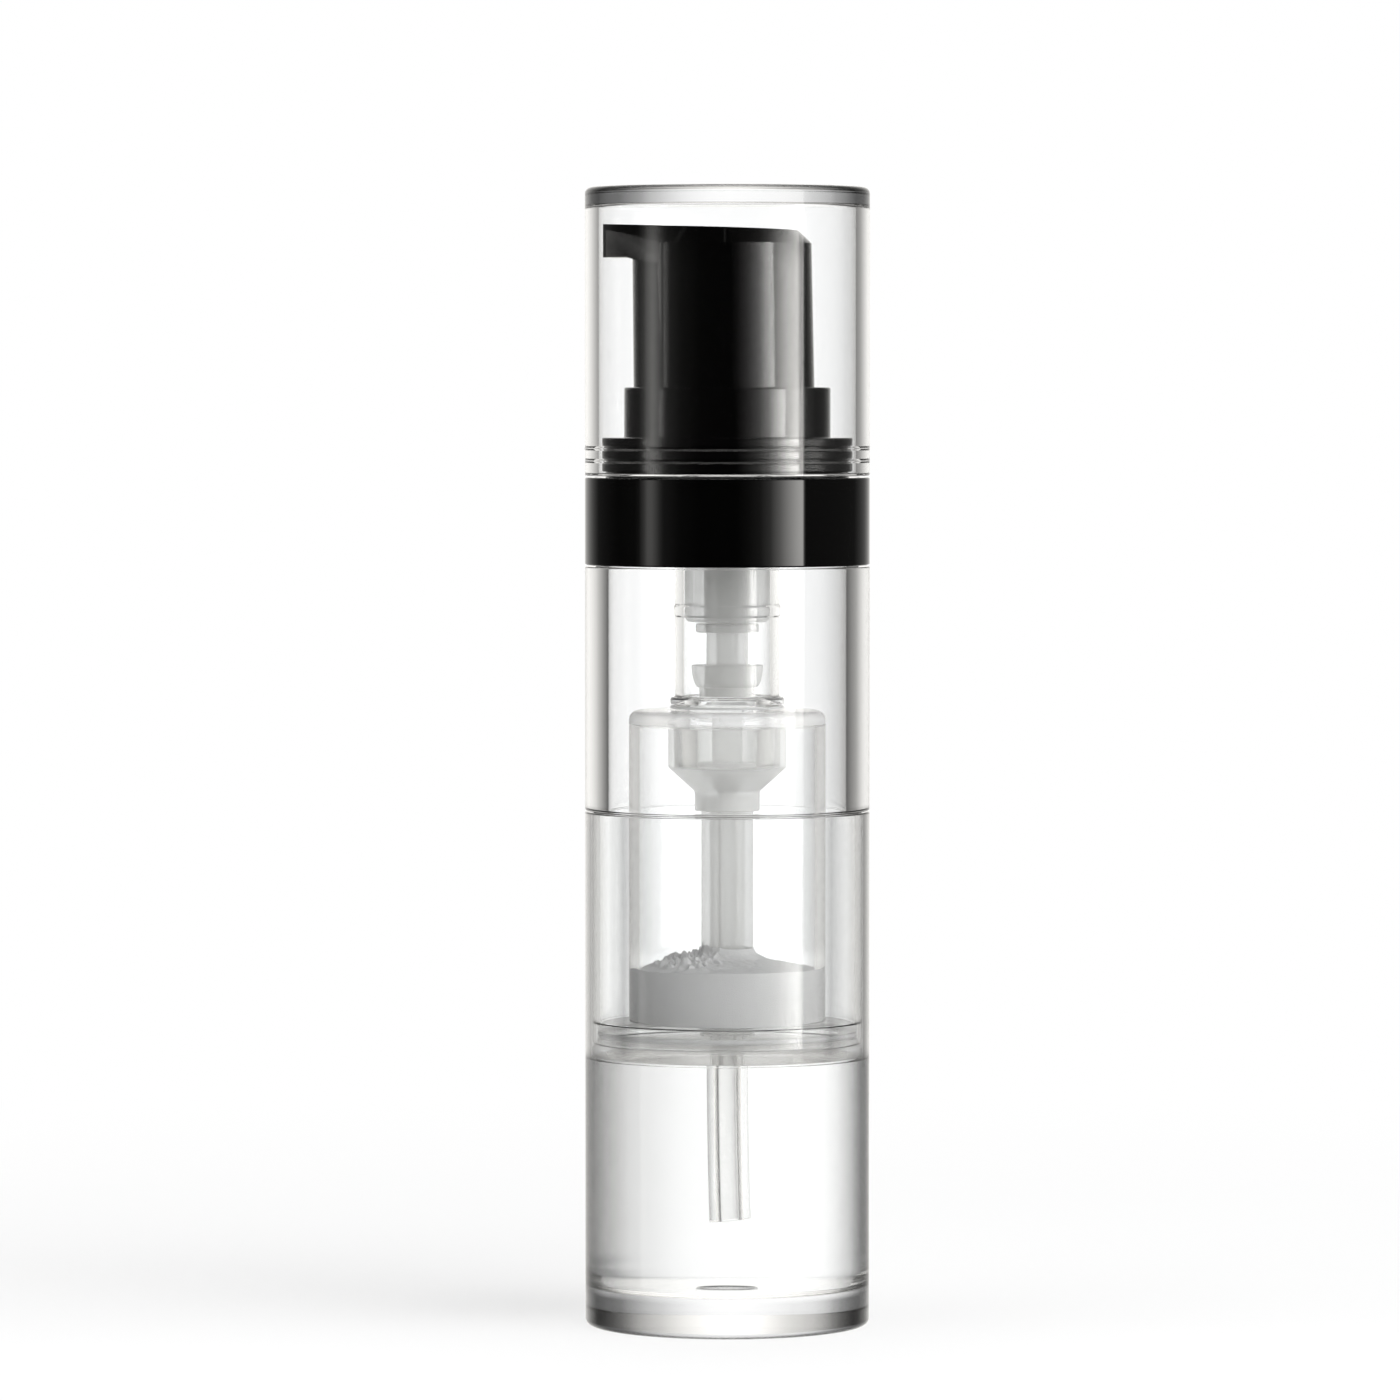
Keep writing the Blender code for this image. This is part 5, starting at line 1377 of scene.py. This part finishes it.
# How bright the backdrop looks through clear plastic, by direction
BACK_LEVELS = [
    (-180.0, 1.0), (-157.0, 0.99), (-150.0, 0.96), (-145.0, 0.92), (-142.0, 0.89), (-139.0, 0.84), (-133.5, 0.77),
    (-129.0, 0.73), (-110.0, 0.73), (-90.0, 0.77), (-60.0, 0.86), (0.0, 1.0), (60.0, 0.86), (90.0, 0.75), (110.0, 0.62),
    (130.0, 0.54), (137.0, 0.47), (140.0, 0.43), (144.5, 0.4), (149.0, 0.46), (152.5, 0.51), (156.0, 0.61), (159.0, 0.68),
    (162.0, 0.75), (165.0, 0.81), (170.0, 0.92), (175.0, 0.98), (180.0, 1.0),
]
# Light that the thick foot throws up from the sides
FOOT_LEVELS = [(-180.0, 0.0), (-125.0, 0.0), (-105.0, 0.11), (105.0, 0.11), (125.0, 0.0), (180.0, 0.0)]


class PUMPBOTTLE_OT_stage(bpy.types.Operator):
    """Floor, room light, lamps and camera"""

    bl_idname = "pump_bottle.stage"
    bl_label = "Stage"

    def execute(self, context):
        scene = context.scene
        settings = scene.bottle_stage
        self.add_floor(settings)
        self.add_room(scene, settings)
        self.add_lamps(scene, settings)
        self.add_camera(scene, settings)
        scene.view_settings.view_transform = "Standard"
        scene.cycles.max_bounces = 40
        scene.cycles.transmission_bounces = 40
        scene.cycles.glossy_bounces = 8
        scene.cycles.diffuse_bounces = 4
        scene.cycles.transparent_max_bounces = 48
        return {"FINISHED"}

    def add_floor(self, settings):
        bm = bmesh.new()
        bmesh.ops.create_circle(bm, cap_ends=True, segments=96, radius=0.6)
        mesh = bpy.data.meshes.new("floor")
        bm.to_mesh(mesh)
        bm.free()
        made, tree = graph("floor_paper")
        place = add(tree, "ShaderNodeTexCoord").outputs["Object"]
        far = add(tree, "ShaderNodeVectorMath", {"operation": "LENGTH"}, i0=place).outputs["Value"]
        fade = add(
            tree, "ShaderNodeMapRange", {"interpolation_type": "SMOOTHSTEP"}, i0=far, i1=0.05, i2=0.3, i3=0.0, i4=1.0
        ).outputs[0]
        fibre = surface_noise(tree, 1.2 * MM, detail=4.0)
        tone = add(tree, "ShaderNodeMix", {"data_type": "RGBA"}, i0=fibre)
        tone.inputs[6].default_value = (*settings.floor, 1.0)
        tone.inputs[7].default_value = (*(value * 0.99 for value in settings.floor), 1.0)
        paper = add(
            tree, "ShaderNodeBsdfPrincipled",
            Base_Color=tone.outputs[2], Roughness=between(tree, fibre, 0.8, 0.9), IOR=1.3,
            Normal=ripple(tree, fibre, 0.02 * MM),
        ).outputs[0]
        white = add(tree, "ShaderNodeEmission", Color=(1.0, 1.0, 1.0, 1.0), Strength=1.0).outputs[0]
        path = add(tree, "ShaderNodeLightPath").outputs
        seen = math_node(tree, "MULTIPLY", path["Is Camera Ray"], fade)
        shown = add(tree, "ShaderNodeMixShader", i0=seen, i1=paper, i2=white).outputs[0]
        room = add(tree, "ShaderNodeBsdfTransparent", Color=(1.0, 1.0, 1.0, 1.0)).outputs[0]
        bent = math_node(tree, "MAXIMUM", path["Is Glossy Ray"], path["Is Transmission Ray"])
        finish(tree, add(tree, "ShaderNodeMixShader", i0=bent, i1=shown, i2=room).outputs[0])
        mesh.materials.append(made)
        floor = bpy.data.objects.new("floor", mesh)
        bpy.context.scene.collection.objects.link(floor)

    def add_room(self, scene, settings):
        world = bpy.data.worlds.new("studio")
        scene.world = world
        world.use_nodes = True
        tree = world.node_tree
        background = next(node for node in tree.nodes if node.type == "BACKGROUND")
        direction = add(
            tree, "ShaderNodeSeparateXYZ", Vector=add(tree, "ShaderNodeTexCoord").outputs["Generated"]
        ).outputs
        towards = math_node(tree, "MULTIPLY", direction["Y"], -1.0)
        angle = math_node(tree, "ARCTAN2", direction["X"], towards)
        share = math_node(tree, "ADD", math_node(tree, "DIVIDE", angle, math.tau), 0.5)

        def by_angle(levels):
            return ramp(tree, share, [((degrees + 180.0) / 360.0, shade) for degrees, shade in levels])

        path = add(tree, "ShaderNodeLightPath").outputs
        inside = math_node(tree, "GREATER_THAN", path["Transmission Depth"], 3.5)
        level = add(
            tree, "ShaderNodeMix", {"data_type": "FLOAT"}, i0=inside, i2=by_angle(ROOM_LEVELS), i3=by_angle(INNER_LEVELS)
        ).outputs[0]
        deep = math_node(tree, "GREATER_THAN", path["Transmission Depth"], 5.5)
        deep_level = math_node(tree, "MAXIMUM", math_node(tree, "MULTIPLY", level, 0.4), by_angle(DEEP_LEVELS))
        level = add(tree, "ShaderNodeMix", {"data_type": "FLOAT"}, i0=deep, i2=level, i3=deep_level).outputs[0]
        tilt = math_node(tree, "ADD", math_node(tree, "MULTIPLY", direction["Z"], 0.5), 0.5)

        def by_height(levels):
            return ramp(tree, tilt, [(0.5 + sine / 2, shade) for sine, shade in levels])

        lower = add(
            tree, "ShaderNodeMix", {"data_type": "FLOAT"}, i0=inside, i2=by_height(SOFTBOX_FALL), i3=by_height(INNER_FALL)
        ).outputs[0]
        steep = math_node(tree, "MULTIPLY", math_node(tree, "ABSOLUTE", direction["Z"], 0.0), 0.3)
        front = math_node(tree, "LESS_THAN", direction["Y"], steep)
        lower = add(tree, "ShaderNodeMix", {"data_type": "FLOAT"}, i0=front, i2=1.0, i3=lower).outputs[0]
        level = math_node(tree, "MULTIPLY", level, lower)
        shallow = math_node(tree, "COMPARE", path["Transmission Depth"], 2.5)
        shallow.node.inputs[2].default_value = 1.0
        rising = by_height([(-1.0, 0.0), (0.05, 0.0), (0.07, 1.0), (1.0, 1.0)])
        foot = math_node(tree, "MULTIPLY", by_angle(FOOT_LEVELS), rising)
        level = math_node(tree, "MAXIMUM", level, math_node(tree, "MULTIPLY", foot, shallow))
        bounced = math_node(tree, "GREATER_THAN", path["Glossy Depth"], 0.5)
        through = math_node(tree, "POWER", 1.043, path["Transmission Depth"])
        through = math_node(tree, "MINIMUM", through, 1.8)
        reflected = math_node(tree, "MULTIPLY", math_node(tree, "MULTIPLY", level, settings.softbox), through)
        card = between(tree, by_angle(BACK_LEVELS), 1.0 - settings.contrast, 1.0)
        through = math_node(tree, "MULTIPLY", through, card)
        seen = add(tree, "ShaderNodeMix", {"data_type": "FLOAT"}, i0=bounced, i2=through, i3=reflected).outputs[0]
        side = math_node(tree, "MULTIPLY", by_angle([(a, b / 7) for a, b in SIDE_LEVELS]), settings.room * 7)
        upper = by_height([(-1.0, 0.0), (-0.2, 0.0), (0.0, 1.0), (0.7, 1.0), (0.95, 0.0)])
        soft = add(tree, "ShaderNodeMix", {"data_type": "FLOAT"}, i0=upper, i2=settings.room, i3=side).outputs[0]
        lit = add(tree, "ShaderNodeMix", {"data_type": "FLOAT"}, i0=path["Is Diffuse Ray"], i2=seen, i3=soft)
        strength = add(
            tree, "ShaderNodeMix", {"data_type": "FLOAT"}, i0=path["Is Camera Ray"], i2=lit.outputs[0], i3=1.0
        ).outputs[0]
        tree.links.new(strength, background.inputs["Strength"])
        plain = math_node(tree, "SUBTRACT", 1.0, bounced)
        plain = math_node(tree, "MAXIMUM", plain, path["Is Camera Ray"])
        colour = add(
            tree, "ShaderNodeMix", {"data_type": "RGBA"}, i0=plain, i6=(1.0, 0.985, 0.955, 1.0), i7=(1.0, 1.0, 1.0, 1.0)
        )
        tree.links.new(colour.outputs[2], background.inputs["Color"])

    def add_lamps(self, scene, settings):
        for name, place, size, power in (
            ("key", (0.5, -0.75, 0.8), 0.9, settings.key),
            ("fill", (-0.8, -0.4, 0.9), 0.9, settings.fill),
        ):
            lamp = bpy.data.lights.new(name, "AREA")
            lamp.shape = "SQUARE"
            lamp.size = size
            lamp.energy = power
            obj = bpy.data.objects.new(name, lamp)
            obj.location = place
            aim = Vector((0.0, 0.0, 0.06)) - Vector(place)
            obj.rotation_euler = aim.to_track_quat("-Z", "Y").to_euler()
            obj.visible_glossy = False
            obj.visible_transmission = False
            obj.visible_camera = False
            scene.collection.objects.link(obj)

    def add_camera(self, scene, settings):
        data = bpy.data.cameras.new("camera")
        data.lens = settings.lens
        data.sensor_width = 36.0
        data.clip_start = 0.05
        data.clip_end = 20.0
        camera = bpy.data.objects.new("camera", data)
        camera.location = (0.0, -settings.distance, settings.eye_height)
        aim = Vector((settings.aim_side, 0.0, settings.aim_height)) - camera.location
        camera.rotation_euler = aim.to_track_quat("-Z", "Y").to_euler()
        scene.collection.objects.link(camera)
        scene.camera = camera


class PUMPBOTTLE_PT_panel(bpy.types.Panel):
    """Lists the bottle's pieces and its stage"""

    bl_idname = "PUMPBOTTLE_PT_panel"
    bl_label = "Pump Bottle"
    bl_space_type = "VIEW_3D"
    bl_region_type = "UI"
    bl_category = "Pump Bottle"

    def draw(self, context):
        for operator in OPERATORS:
            self.layout.operator(operator.bl_idname)


OPERATORS = (
    PUMPBOTTLE_OT_lower_bottle,
    PUMPBOTTLE_OT_liquid,
    PUMPBOTTLE_OT_upper_bottle,
    PUMPBOTTLE_OT_chamber_floor,
    PUMPBOTTLE_OT_dip_tube,
    PUMPBOTTLE_OT_powder_chamber,
    PUMPBOTTLE_OT_valve,
    PUMPBOTTLE_OT_pump,
    PUMPBOTTLE_OT_closure,
    PUMPBOTTLE_OT_actuator,
    PUMPBOTTLE_OT_overcap,
    PUMPBOTTLE_OT_stage,
)
GROUPS = (ShellSizes, Finishes, StageSettings)


def register():
    for group in GROUPS + OPERATORS + (PUMPBOTTLE_PT_panel,):
        bpy.utils.register_class(group)
    bpy.types.Scene.bottle_shells = PointerProperty(type=ShellSizes)
    bpy.types.Scene.bottle_finishes = PointerProperty(type=Finishes)
    bpy.types.Scene.bottle_stage = PointerProperty(type=StageSettings)


def unregister():
    del bpy.types.Scene.bottle_stage
    del bpy.types.Scene.bottle_finishes
    del bpy.types.Scene.bottle_shells
    for group in reversed(GROUPS + OPERATORS + (PUMPBOTTLE_PT_panel,)):
        bpy.utils.unregister_class(group)


def plain(box):
    return [[float(value) for value in corner] for corner in box]


def main():
    register()
    for operator in OPERATORS:
        name = operator.bl_idname.split(".")[1]
        getattr(bpy.ops.pump_bottle, name)()


if __name__ == "__main__":
    main()
